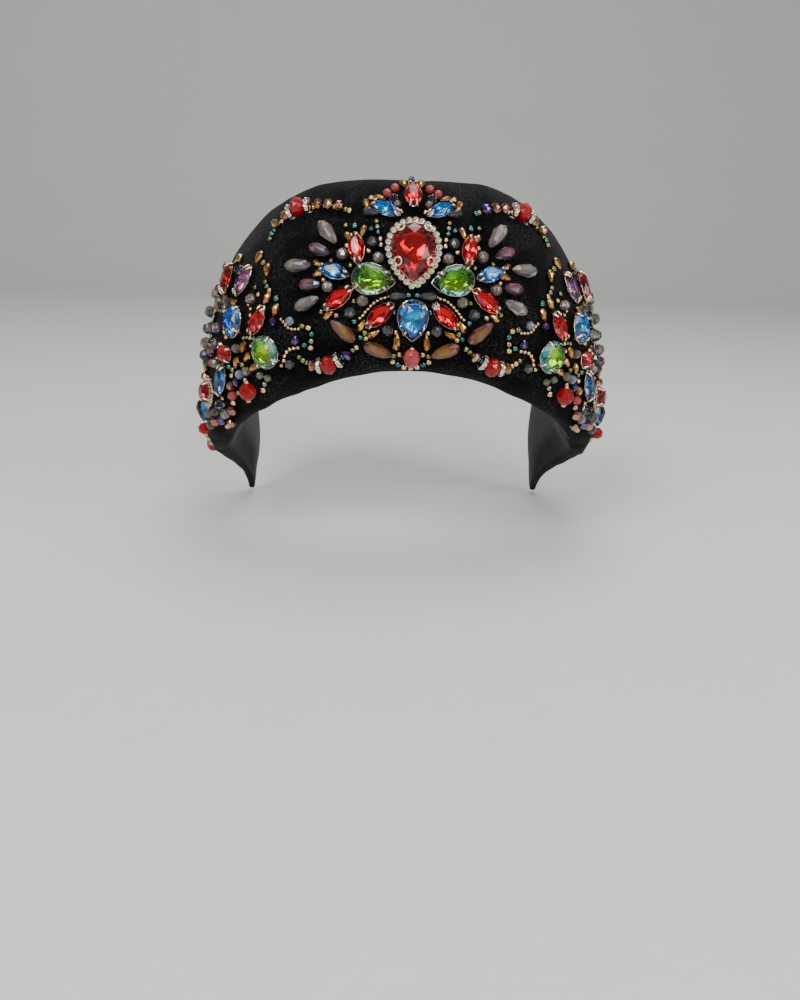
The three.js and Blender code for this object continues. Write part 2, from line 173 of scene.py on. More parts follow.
class Groups:
    """Shared effects, each built once as a node group."""

    made: dict[str, bpy.types.NodeTree] = {}

    @classmethod
    def build(cls, name: str, inputs: dict[str, str], outputs: dict[str, str],
              fill: Callable[[Tree, Any, Any], None]) -> bpy.types.NodeTree:
        """Makes a group on first use.

        Args:
            name: The group's name.
            inputs: Input names with their socket types.
            outputs: Output names with their socket types.
            fill: Adds the group's nodes between its input and output nodes.

        Returns:
            The group's tree.
        """
        if name not in cls.made:
            tree = bpy.data.node_groups.new(name, "ShaderNodeTree")
            for way, sockets in (("INPUT", inputs), ("OUTPUT", outputs)):
                for label, kind in sockets.items():
                    tree.interface.new_socket(name=label, in_out=way, socket_type=kind)
            fill(Tree(tree), tree.nodes.new("NodeGroupInput"), tree.nodes.new("NodeGroupOutput"))
            cls.made[name] = tree
        return cls.made[name]

    @classmethod
    def facet_play(cls) -> bpy.types.NodeTree:
        """Group that turns facet and heart values into a stone's colour and gloss, with painted facet light:
        random lighter and darker facets and painted glints.
        """

        def fill(tree: Tree, given: Any, out: Any) -> None:
            """Adds the nodes."""
            # painted light and shade: each facet shifts at random towards the heart or the edge colour
            painted_facet_shade = tree.sums("MULTIPLY_ADD", given.outputs["Facet"], 0.7, -0.35)
            share = tree.sums("ADD", given.outputs["Heart"], painted_facet_shade, hold=True)
            body = tree.mix(share, given.outputs["Heart Colour"], given.outputs["Edge Colour"])
            # painted glint: facets with the highest random values take the glint colour
            painted_glint = tree.span(given.outputs["Facet"], 0.72, 1.0, 0.0, 0.85)
            lit = tree.mix(painted_glint, body, given.outputs["Flash Colour"])
            tree.tree.links.new(lit, out.inputs["Colour"])
            gloss = tree.span(given.outputs["Facet"], 0.0, 1.0, 0.015, 0.06)
            tree.tree.links.new(gloss, out.inputs["Roughness"])

        inputs = {"Facet": "NodeSocketFloat", "Heart": "NodeSocketFloat", "Heart Colour": "NodeSocketColor",
                  "Edge Colour": "NodeSocketColor", "Flash Colour": "NodeSocketColor"}
        outputs = {"Colour": "NodeSocketColor", "Roughness": "NodeSocketFloat"}
        return cls.build("facet_play", inputs, outputs, fill)

    @classmethod
    def fine_grain(cls) -> bpy.types.NodeTree:
        """Group of small scuffs: a share for colour, a roughness change and a height."""

        def fill(tree: Tree, given: Any, out: Any) -> None:
            """Adds the nodes."""
            scaled = {0: given.outputs["Place"], "Scale": given.outputs["Scale"]}
            place = tree.add("ShaderNodeVectorMath", scaled, operation="SCALE").outputs[0]
            broad = tree.clouds(place, 0.35, 3.0)
            fine = tree.clouds(place, 2.6, 4.0, 0.6)
            both = tree.sums("MULTIPLY_ADD", fine, 0.5, tree.sums("MULTIPLY", broad, 0.5))
            tree.tree.links.new(both, out.inputs["Share"])
            tree.tree.links.new(tree.span(both, 0.35, 0.65, -0.06, 0.08), out.inputs["Roughness"])
            tree.tree.links.new(fine, out.inputs["Height"])

        inputs = {"Place": "NodeSocketVector", "Scale": "NodeSocketFloat"}
        outputs = {"Share": "NodeSocketFloat", "Roughness": "NodeSocketFloat", "Height": "NodeSocketFloat"}
        return cls.build("fine_grain", inputs, outputs, fill)


@dataclass(frozen=True)
class Finish:
    """A surface finish, made into one Blender material on first use."""

    name: str

    def material(self) -> bpy.types.Material:
        """The finish's material."""
        title = f"finish_{self.name}"
        found = bpy.data.materials.get(title)
        if found is not None:
            return found
        made = bpy.data.materials.new(title)
        made.use_nodes = True
        made.node_tree.nodes.clear()
        tree = Tree(made.node_tree)
        shader = tree.add("ShaderNodeBsdfPrincipled")
        tree.add("ShaderNodeOutputMaterial", {"Surface": shader.outputs[0]})
        self.dress(tree, shader)
        return made

    def dress(self, tree: Tree, shader: bpy.types.Node) -> None:
        """Adds the finish's own nodes and values."""
        raise NotImplementedError

    @staticmethod
    def put(shader: bpy.types.Node, values: dict[str, Any]) -> None:
        """Sets plain values on the shader's own sockets."""
        for key, value in values.items():
            shader.inputs[key].default_value = value

    @staticmethod
    def grain(tree: Tree, scale: float) -> bpy.types.Node:
        """Places the fine grain group on Object coordinates."""
        return tree.add("ShaderNodeGroup", {"Place": tree.place(), "Scale": scale},
                        node_tree=Groups.fine_grain())


@dataclass(frozen=True)
class Glass(Finish):
    """Cut glass whose colour changes from the heart to the edge, with painted light, shade and glints from
    facet to facet.
    """

    heart: Colour
    edge: Colour
    # colour of the painted glints on the brightest facets
    painted_glint: Colour
    clear: float = 1.0
    index: float = 1.56
    film: float = 0.0
    rough: float = 0.0

    def dress(self, tree: Tree, shader: bpy.types.Node) -> None:
        """Paints light, shade and glints on the facets and sets the glass."""
        inputs = {"Facet": tree.value("facet"), "Heart": tree.value("heart"), "Heart Colour": self.heart,
                  "Edge Colour": self.edge, "Flash Colour": self.painted_glint}
        play = tree.add("ShaderNodeGroup", inputs, node_tree=Groups.facet_play())
        tree.tree.links.new(play.outputs["Colour"], shader.inputs["Base Color"])
        gloss = tree.sums("ADD", play.outputs["Roughness"], self.rough)
        tree.tree.links.new(gloss, shader.inputs["Roughness"])
        self.put(shader, {"Transmission Weight": self.clear, "IOR": self.index,
                          "Thin Film Thickness": self.film, "Thin Film IOR": 1.38})


@dataclass(frozen=True)
class Foil(Finish):
    """Bright foil behind a stone, with painted facet light: random lighter and darker faces and painted
    glints.
    """

    heart: Colour
    edge: Colour
    # colour of the painted glints
    painted_glint: Colour

    def dress(self, tree: Tree, shader: bpy.types.Node) -> None:
        """Paints light, shade and glints on the faces of the metal."""
        inputs = {"Facet": tree.value("facet"), "Heart": tree.value("heart"), "Heart Colour": self.heart,
                  "Edge Colour": self.edge, "Flash Colour": self.painted_glint}
        play = tree.add("ShaderNodeGroup", inputs, node_tree=Groups.facet_play())
        tree.tree.links.new(play.outputs["Colour"], shader.inputs["Base Color"])
        grain = self.grain(tree, 900.0)
        scuffed = tree.sums("ADD", grain.outputs["Roughness"], 0.12)
        gloss = tree.sums("ADD", scuffed, play.outputs["Roughness"])
        tree.tree.links.new(gloss, shader.inputs["Roughness"])
        self.put(shader, {"Metallic": 1.0})


@dataclass(frozen=True)
class Metal(Finish):
    """Plated or iris-coated metal; each bead takes its own tone between three colours."""

    first: Colour
    second: Colour
    third: Colour
    rough: float = 0.2
    coat: float = 0.0
    bump: float = 0.08

    def dress(self, tree: Tree, shader: bpy.types.Node) -> None:
        """Mixes the tones and adds small scuffs."""
        tone, facet = tree.value("tone"), tree.value("facet")
        grain = self.grain(tree, 700.0)
        body = tree.mix(tree.span(tone, 0.15, 0.85, 0.0, 1.0), self.first, self.second)
        body = tree.mix(tree.span(facet, 0.45, 1.0, 0.0, 0.9), body, self.third)
        worn = tree.mix(tree.span(grain.outputs["Share"], 0.42, 0.62, 0.0, 0.35), body,
                        tree.mix(0.5, body, rgb(0.05, 0.03, 0.02)))
        tree.tree.links.new(worn, shader.inputs["Base Color"])
        gloss = tree.sums("ADD", grain.outputs["Roughness"], self.rough, hold=True)
        tree.tree.links.new(gloss, shader.inputs["Roughness"])
        bump = tree.add("ShaderNodeBump", {"Height": grain.outputs["Height"], "Strength": self.bump,
                                           "Distance": 0.0002})
        tree.tree.links.new(bump.outputs[0], shader.inputs["Normal"])
        self.put(shader, {"Metallic": 1.0, "Coat Weight": self.coat, "Coat Roughness": 0.05})


@dataclass(frozen=True)
class Enamel(Finish):
    """Opaque glassy paste of the coral beads, with faint pitting."""

    light: Colour
    dark: Colour
    rough: float = 0.28

    def dress(self, tree: Tree, shader: bpy.types.Node) -> None:
        """Mottles the colour and pits the gloss."""
        grain = self.grain(tree, 420.0)
        share = tree.span(grain.outputs["Share"], 0.35, 0.65, 0.0, 1.0)
        body = tree.mix(share, self.dark, self.light)
        body = tree.mix(tree.span(tree.value("facet"), 0.0, 1.0, 0.0, 0.45), body, self.light)
        tree.tree.links.new(body, shader.inputs["Base Color"])
        gloss = tree.sums("ADD", grain.outputs["Roughness"], self.rough, hold=True)
        tree.tree.links.new(gloss, shader.inputs["Roughness"])
        bump = tree.add("ShaderNodeBump", {"Height": grain.outputs["Height"], "Strength": 0.15,
                                           "Distance": 0.0003})
        tree.tree.links.new(bump.outputs[0], shader.inputs["Normal"])
        self.put(shader, {"Specular IOR Level": 0.3, "Coat Weight": 0.15, "Coat Roughness": 0.1})


@dataclass(frozen=True)
class Velvet(Finish):
    """Crushed black velvet with painted grey sheen in patches, and a satin lining where the mesh says it is
    the inside.
    """

    deep: Colour = rgb(0.0016, 0.0016, 0.0018)
    # light: grey of the painted sheen on the crushed pile
    light: Colour = rgb(0.052, 0.051, 0.049)
    lining: Colour = rgb(0.006, 0.006, 0.007)

    def dress(self, tree: Tree, shader: bpy.types.Node) -> None:
        """Paints the crushed pile's sheen as grey speckle in patches and adds its fibres as bumps."""
        place = tree.place()
        inside = tree.value("inside")
        patches = tree.clouds(place, 55.0, 4.0, 0.8)
        tufts = tree.clouds(place, 1250.0, 3.0, 0.2)
        fibres = tree.clouds(place, 2400.0, 2.0)
        # painted sheen: grey speckle of the pile fibres in patches, mixed into the base colour
        sheen_speckle = tree.sums("MULTIPLY", tree.span(tufts, 0.46, 0.68, 0.02, 1.0),
                            tree.span(fibres, 0.40, 0.62, 0.2, 1.0))
        painted_sheen_share = tree.sums("MULTIPLY", tree.span(patches, 0.42, 0.64, 0.05, 1.0), sheen_speckle)
        pile = tree.mix(painted_sheen_share, self.deep, self.light)
        tree.tree.links.new(tree.mix(inside, pile, self.lining), shader.inputs["Base Color"])
        rough = tree.sums("SUBTRACT", tree.span(tufts, 0.3, 0.7, 1.0, 0.86),
                          tree.sums("MULTIPLY", inside, 0.42))
        tree.tree.links.new(rough, shader.inputs["Roughness"])
        height = tree.sums("MULTIPLY_ADD", tufts, 0.8, tree.sums("MULTIPLY", fibres, 0.45))
        height = tree.sums("MULTIPLY_ADD", patches, 0.3, height)
        calm = tree.sums("MULTIPLY", height, tree.span(inside, 0.0, 1.0, 1.0, 0.12))
        bump = tree.add("ShaderNodeBump", {"Height": calm, "Strength": 0.7, "Distance": 0.0006})
        tree.tree.links.new(bump.outputs[0], shader.inputs["Normal"])
        self.put(shader, {"Sheen Weight": 0.1, "Sheen Roughness": 0.4, "Sheen Tint": rgb(0.62, 0.62, 0.66),
                          "Specular IOR Level": 0.08})


@dataclass(frozen=True)
class Paper(Finish):
    """Pale seamless backdrop paper."""

    light: Colour = rgb(0.80, 0.79, 0.77)
    dark: Colour = rgb(0.74, 0.73, 0.71)

    def dress(self, tree: Tree, shader: bpy.types.Node) -> None:
        """Gives the paper a faint mottle."""
        grain = self.grain(tree, 30.0)
        body = tree.mix(grain.outputs["Share"], self.dark, self.light)
        tree.tree.links.new(body, shader.inputs["Base Color"])
        self.put(shader, {"Roughness": 0.85, "Specular IOR Level": 0.2})


VELVET = Velvet("velvet_pile")
PAPER = Paper("backdrop_paper")
THREAD = Metal("black_thread", rgb(0.01, 0.01, 0.01), rgb(0.02, 0.02, 0.02), rgb(0.03, 0.03, 0.03), rough=0.7)
CLAW_GOLD = Metal("claw_gold", rgb(0.95, 0.74, 0.46), rgb(0.98, 0.82, 0.60), rgb(1.0, 0.92, 0.78), rough=0.14)
SEED_GOLD = Metal("seed_gold", rgb(0.75, 0.46, 0.18), rgb(0.85, 0.60, 0.30), rgb(0.95, 0.75, 0.48), rough=0.2)
BRONZE = Metal("bronze_glaze", rgb(0.36, 0.15, 0.015), rgb(0.55, 0.27, 0.05), rgb(0.80, 0.50, 0.15),
               rough=0.16, coat=0.5)
OLIVE = Metal("olive_iris", rgb(0.20, 0.19, 0.04), rgb(0.38, 0.33, 0.10), rgb(0.12, 0.26, 0.12),
              rough=0.16, coat=0.4)
TEAL_IRIS = Metal("teal_iris", rgb(0.01, 0.10, 0.12), rgb(0.03, 0.22, 0.20), rgb(0.12, 0.34, 0.30),
                  rough=0.16, coat=0.4)
STEEL_IRIS = Metal("steel_iris", rgb(0.16, 0.18, 0.18), rgb(0.28, 0.30, 0.28), rgb(0.50, 0.54, 0.50),
                   rough=0.2, coat=0.3)
AURORA = Metal("aurora_glaze", rgb(0.40, 0.16, 0.05), rgb(0.62, 0.38, 0.12), rgb(0.28, 0.05, 0.24),
               rough=0.12, coat=0.6)
PURPLE = Metal("purple_glaze", rgb(0.10, 0.035, 0.20), rgb(0.22, 0.06, 0.26), rgb(0.08, 0.12, 0.42),
               rough=0.12, coat=0.6)
CORAL = Enamel("coral_paste", rgb(0.32, 0.001, 0.004), rgb(0.14, 0.0005, 0.001))
ROSE = Enamel("rose_paste", rgb(0.42, 0.07, 0.075), rgb(0.22, 0.015, 0.022), rough=0.14)

# Glasses: heart, edge and painted glint colours; the glint colour is a painted highlight on some facets
RED = Glass("glass_ruby", rgb(0.92, 0.003, 0.025), rgb(0.45, 0.001, 0.012), rgb(1.0, 0.03, 0.05))
GREEN = Glass("glass_vitrail", rgb(0.75, 1.0, 0.08), rgb(0.0, 0.24, 0.46), rgb(0.90, 1.0, 0.12), film=260.0)
BLUE = Glass("glass_bermuda", rgb(0.02, 0.70, 0.82), rgb(0.09, 0.04, 0.50), rgb(0.10, 0.95, 0.95), film=220.0)
TEAL = Glass("glass_lagoon", rgb(0.05, 0.55, 0.62), rgb(0.08, 0.16, 0.55), rgb(0.25, 0.85, 0.55), film=280.0)
LILAC = Glass("glass_lilac", rgb(0.55, 0.42, 0.75), rgb(0.60, 0.25, 0.35), rgb(0.35, 0.60, 0.95), film=420.0)
CRYSTAL = Glass("crystal_clear", rgb(0.96, 0.94, 0.90), rgb(0.86, 0.82, 0.76), rgb(1.0, 0.98, 0.95),
                film=330.0)
GREY = Glass("crystal_grey", rgb(0.42, 0.41, 0.36), rgb(0.10, 0.095, 0.085), rgb(0.80, 0.78, 0.70),
             clear=0.5, film=300.0)
MAUVE = Glass("crystal_mauve", rgb(0.34, 0.15, 0.17), rgb(0.06, 0.02, 0.03), rgb(0.60, 0.36, 0.40),
              clear=0.5, film=360.0)
AMBER = Glass("crystal_amber", rgb(0.50, 0.24, 0.07), rgb(0.14, 0.05, 0.015), rgb(0.55, 0.22, 0.26),
              clear=0.5, film=380.0)
SMOKE = Glass("crystal_smoke", rgb(0.10, 0.10, 0.11), rgb(0.05, 0.05, 0.055), rgb(0.30, 0.31, 0.34),
              clear=0.5)
CHAMPAGNE = Glass("crystal_champagne", rgb(0.38, 0.32, 0.27), rgb(0.20, 0.16, 0.13), rgb(0.70, 0.63, 0.55),
                  clear=0.6)
PALE_GREEN = Glass("crystal_pale_green", rgb(0.28, 0.32, 0.20), rgb(0.15, 0.18, 0.12), rgb(0.50, 0.54, 0.38),
                   clear=0.6)
ICE = Glass("crystal_ice", rgb(0.35, 0.50, 0.60), rgb(0.18, 0.26, 0.36), rgb(0.70, 0.85, 0.95),
            clear=0.55, film=300.0)

# Foils: heart, edge and painted glint colours for each glass
FOILS = {
    RED: Foil("foil_ruby", rgb(1.0, 0.14, 0.16), rgb(0.75, 0.05, 0.08), rgb(1.0, 0.30, 0.30)),
    GREEN: Foil("foil_vitrail", rgb(0.80, 1.0, 0.12), rgb(0.02, 0.28, 0.48), rgb(0.95, 1.0, 0.30)),
    BLUE: Foil("foil_bermuda", rgb(0.20, 0.85, 1.0), rgb(0.36, 0.20, 0.90), rgb(0.45, 0.95, 1.0)),
    TEAL: Foil("foil_lagoon", rgb(0.45, 0.95, 0.90), rgb(0.25, 0.40, 0.85), rgb(0.80, 1.0, 0.75)),
    LILAC: Foil("foil_lilac", rgb(0.95, 0.85, 1.0), rgb(0.95, 0.75, 0.80), rgb(0.80, 0.95, 1.0)),
}


# Shapes


def to_shape(bm: bmesh.types.BMesh) -> bpy.types.Mesh:
    """Turns a bmesh with outward faces into a loose mesh and frees it."""
    bmesh.ops.recalc_face_normals(bm, faces=bm.faces)
    mesh = bpy.data.meshes.new("shape")
    bm.to_mesh(mesh)
    bm.free()
    return mesh


def skin_rings(bm: bmesh.types.BMesh, rings: Sequence[Sequence[Vector]]) -> list[list[bmesh.types.BMVert]]:
    """Runs a tube through rings by extruding one circle from ring to ring, and caps both ends.

    Args:
        bm: The mesh that takes the tube.
        rings: Points of each ring, the same number in each.

    Returns:
        The vertices of each ring.
    """
    verts = bmesh.ops.create_circle(bm, cap_ends=False, segments=len(rings[0]), radius=1.0)["verts"]
    made = [verts]
    edges = list({edge for vert in verts for edge in vert.link_edges})
    for index, ring in enumerate(rings):
        if index:
            grown = bmesh.ops.extrude_edge_only(bm, edges=edges)["geom"]
            fresh = {item for item in grown if isinstance(item, bmesh.types.BMVert)}
            verts = [next(e.other_vert(v) for e in v.link_edges if e.other_vert(v) in fresh) for v in verts]
            edges = [e for e in grown if isinstance(e, bmesh.types.BMEdge) and set(e.verts) <= fresh]
            made.append(verts)
        for vert, point in zip(verts, ring):
            vert.co = point
    bmesh.ops.contextual_create(bm, geom=made[0])
    bmesh.ops.contextual_create(bm, geom=made[-1])
    return made


def hull_shape(points: Iterable[Vector]) -> bpy.types.Mesh:
    """Cut body: the hull of the facets' corners, with each facet one face."""
    bm = bmesh.new()
    for point in points:
        bm.verts.new(point)
    hull = bmesh.ops.convex_hull(bm, input=list(bm.verts))
    spare = {v for v in hull["geom_interior"] + hull["geom_unused"] if isinstance(v, bmesh.types.BMVert)}
    bmesh.ops.delete(bm, geom=list(spare), context="VERTS")
    bmesh.ops.dissolve_limit(bm, angle_limit=math.radians(0.8), verts=list(bm.verts), edges=list(bm.edges))
    return to_shape(bm)


def circle_points(sides: int, radius: float, along: float, turn: float = 0.0) -> list[Vector]:
    """Points around the Y axis, with a turn in steps."""
    angles = [2 * math.pi * (i + 0.5 + turn) / sides for i in range(sides)]
    return [Vector((radius * math.sin(a), along, radius * math.cos(a))) for a in angles]


def cut_bead(levels: Sequence[tuple[float, float, float]], sides: int, width: float,
             length: float) -> bpy.types.Mesh:
    """Faceted body along Y.

    Args:
        levels: Share of the length, share of the radius and turn in steps at each level.
        sides: Facets around.
        width: Diameter.
        length: Length along Y.

    Returns:
        The shape.
    """
    return hull_shape(p for along, radius, turn in levels
                      for p in circle_points(sides, width / 2 * radius, length * (along - 0.5), turn))


def turned_bead(levels: Sequence[tuple[float, float]], sides: int, width: float,
                length: float) -> bpy.types.Mesh:
    """Smooth body along Y from shares of length and radius."""
    bm = bmesh.new()
    skin_rings(bm, [circle_points(sides, width / 2 * r, length * (a - 0.5)) for a, r in levels])
    for face in bm.faces:
        face.smooth = len(face.verts) == 4
    return to_shape(bm)


def wire(path: Sequence[Vector], radii: Sequence[float], sides: int) -> bpy.types.Mesh:
    """Round wire along a path, with a radius at each point."""
    bm = bmesh.new()
    rings = []
    across = (path[1] - path[0]).orthogonal().normalized()
    for index, (point, radius) in enumerate(zip(path, radii)):
        along = (path[min(index + 1, len(path) - 1)] - path[max(index - 1, 0)]).normalized()
        across = (across - along * across.dot(along)).normalized()
        third = along.cross(across)
        angles = [2 * math.pi * i / sides for i in range(sides)]
        rings.append([point + (across * math.cos(a) + third * math.sin(a)) * radius for a in angles])
    skin_rings(bm, rings)
    for face in bm.faces:
        face.smooth = len(face.verts) == 4
    return to_shape(bm)


SEED_LEVELS = ((0.0, 0.5), (0.14, 0.84), (0.5, 1.0), (0.86, 0.84), (1.0, 0.5))
ROUND_LEVELS = ((0.0, 0.42, 0.0), (0.27, 0.95, 0.5), (0.73, 0.95, 0.0), (1.0, 0.42, 0.5))
DROP_LEVELS = ((0.0, 0.26, 0.0), (0.2, 0.66, 0.0), (0.62, 1.0, 0.5), (0.88, 0.72, 0.0), (1.0, 0.3, 0.0))
RONDELLE_LEVELS = ((0.0, 0.4, 0.0), (0.18, 0.8, 0.5), (0.5, 1.0, 0.0), (0.82, 0.8, 0.5), (1.0, 0.4, 0.0))


class Shapes:
    """Templates that are made once and copied many times."""

    made: dict[tuple[Any, ...], bpy.types.Mesh] = {}

    @classmethod
    def keep(cls, key: tuple[Any, ...], make: Callable[[], bpy.types.Mesh]) -> bpy.types.Mesh:
        """The template of that key, made on first use."""
        if key not in cls.made:
            cls.made[key] = make()
        return cls.made[key]

    @classmethod
    def seed(cls, width: float, length: float) -> bpy.types.Mesh:
        """Small smooth bead."""
        return cls.keep(("seed", width, length), lambda: turned_bead(SEED_LEVELS, 8, width, length))

    @classmethod
    def round(cls, width: float, length: float) -> bpy.types.Mesh:
        """Faceted round bead."""
        return cls.keep(("round", width, length), lambda: cut_bead(ROUND_LEVELS, 8, width, length))

    @classmethod
    def drop(cls, width: float, length: float) -> bpy.types.Mesh:
        """Faceted drop with its thin end at -Y."""
        return cls.keep(("drop", width, length), lambda: cut_bead(DROP_LEVELS, 8, width, length))

    @classmethod
    def rondelle(cls, width: float, length: float) -> bpy.types.Mesh:
        """Faceted flattened bead."""
        return cls.keep(("rondelle", width, length), lambda: cut_bead(RONDELLE_LEVELS, 12, width, length))

    @classmethod
    def chaton_cup(cls, width: float, rise: float) -> bpy.types.Mesh:
        """Small cup of a set crystal, standing on Z 0."""

        def make() -> bpy.types.Mesh:
            """Runs the cup's wall up and over its rim."""
            bm = bmesh.new()
            rows = ((0.36, 0.0), (0.5, rise * 0.55), (0.5, rise * 0.8), (0.4, rise * 0.8), (0.3, rise * 0.45))
            rings = [[Vector((p.x, p.z, z)) for p in circle_points(8, width * r, 0)] for r, z in rows]
            skin_rings(bm, rings)
            return to_shape(bm)

        return cls.keep(("cup", width, rise), make)

    @classmethod
    def chaton(cls, width: float, rise: float) -> bpy.types.Mesh:
        """Small cut crystal that sits in a chaton cup."""

        def make() -> bpy.types.Mesh:
            """Hull of the crystal's levels."""
            rows = ((0.1, 0.5, 0.0), (0.41, 0.82, 0.0), (0.24, 1.1, 0.5))
            return hull_shape(Vector((p.x, p.z, rise * z)) for r, z, turn in rows
                              for p in circle_points(8, width * r, 0, turn))

        return cls.keep(("chaton", width, rise), make)


class Piece:
    """One object of the dressed part, joined from small shapes in millimetres."""

    def __init__(self, name: str, finishes: Sequence[Finish], seed: int) -> None:
        """Starts an empty piece.

        Args:
            name: The object's name.
            finishes: The piece's finishes, by material index.
            seed: Start of the piece's own random draws.
        """
        self.name = name
        self.finishes = list(finishes)
        self.bm = bmesh.new()
        self.facet = self.bm.faces.layers.float.new("facet")
        self.tone = self.bm.faces.layers.float.new("tone")
        self.heart = self.bm.verts.layers.float.new("heart")
        self.draw = random.Random(seed)

    def add(self, shape: bpy.types.Mesh, place: Matrix, finishes: Sequence[Finish],
            reach: tuple[float, float] | None = None) -> None:
        """Joins a copy of a shape.

        Args:
            shape: The shape to copy.
            place: Where it goes, in millimetres.
            finishes: Finish for each of the shape's own material indices.
            reach: Half sizes in X and Y at which the heart value is 1.
        """
        first_vert, first_face = len(self.bm.verts), len(self.bm.faces)
        self.bm.from_mesh(shape)
        self.bm.verts.ensure_lookup_table()
        self.bm.faces.ensure_lookup_table()
        verts = self.bm.verts[first_vert:]
        if reach is not None:
            for vert in verts:
                vert[self.heart] = clamp(math.hypot(vert.co.x / reach[0], vert.co.y / reach[1]))
        bmesh.ops.transform(self.bm, matrix=place, verts=verts)
        tone = self.draw.random()
        for face in self.bm.faces[first_face:]:
            face[self.tone] = tone
            face[self.facet] = self.draw.random()
            face.material_index = self.index(finishes[face.material_index])

    def index(self, finish: Finish) -> int:
        """Material index of a finish, added on first use."""
        if finish not in self.finishes:
            self.finishes.append(finish)
        return self.finishes.index(finish)

    def place(self, slot: str, nodes: Sequence[str] = ()) -> bpy.types.Object:
        """Makes the object, in metres, and ties it to the frame.

        Args:
            slot: The record's material slot; not used.
            nodes: CAD nodes that the piece stands for.

        Returns:
            The object.
        """
        bmesh.ops.scale(self.bm, vec=(MM, MM, MM), verts=self.bm.verts)
        mesh = bpy.data.meshes.new(self.name)
        self.bm.to_mesh(mesh)
        self.bm.free()
        for finish in self.finishes:
            mesh.materials.append(finish.material())
        made = bpy.data.objects.new(self.name, mesh)
        bpy.context.scene.collection.objects.link(made)
        tie(made, slot, nodes)
        return made


def tie(made: bpy.types.Object, slot: str, nodes: Sequence[str]) -> None:
    """Rides a piece on the one body and hides the nodes it stands for."""
    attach(made, BODY)
    if nodes:
        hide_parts(*nodes)
    LOG.info("%s: %d faces, stands for %s", made.name, len(made.data.polygons), ", ".join(nodes) or "no node")


# Band


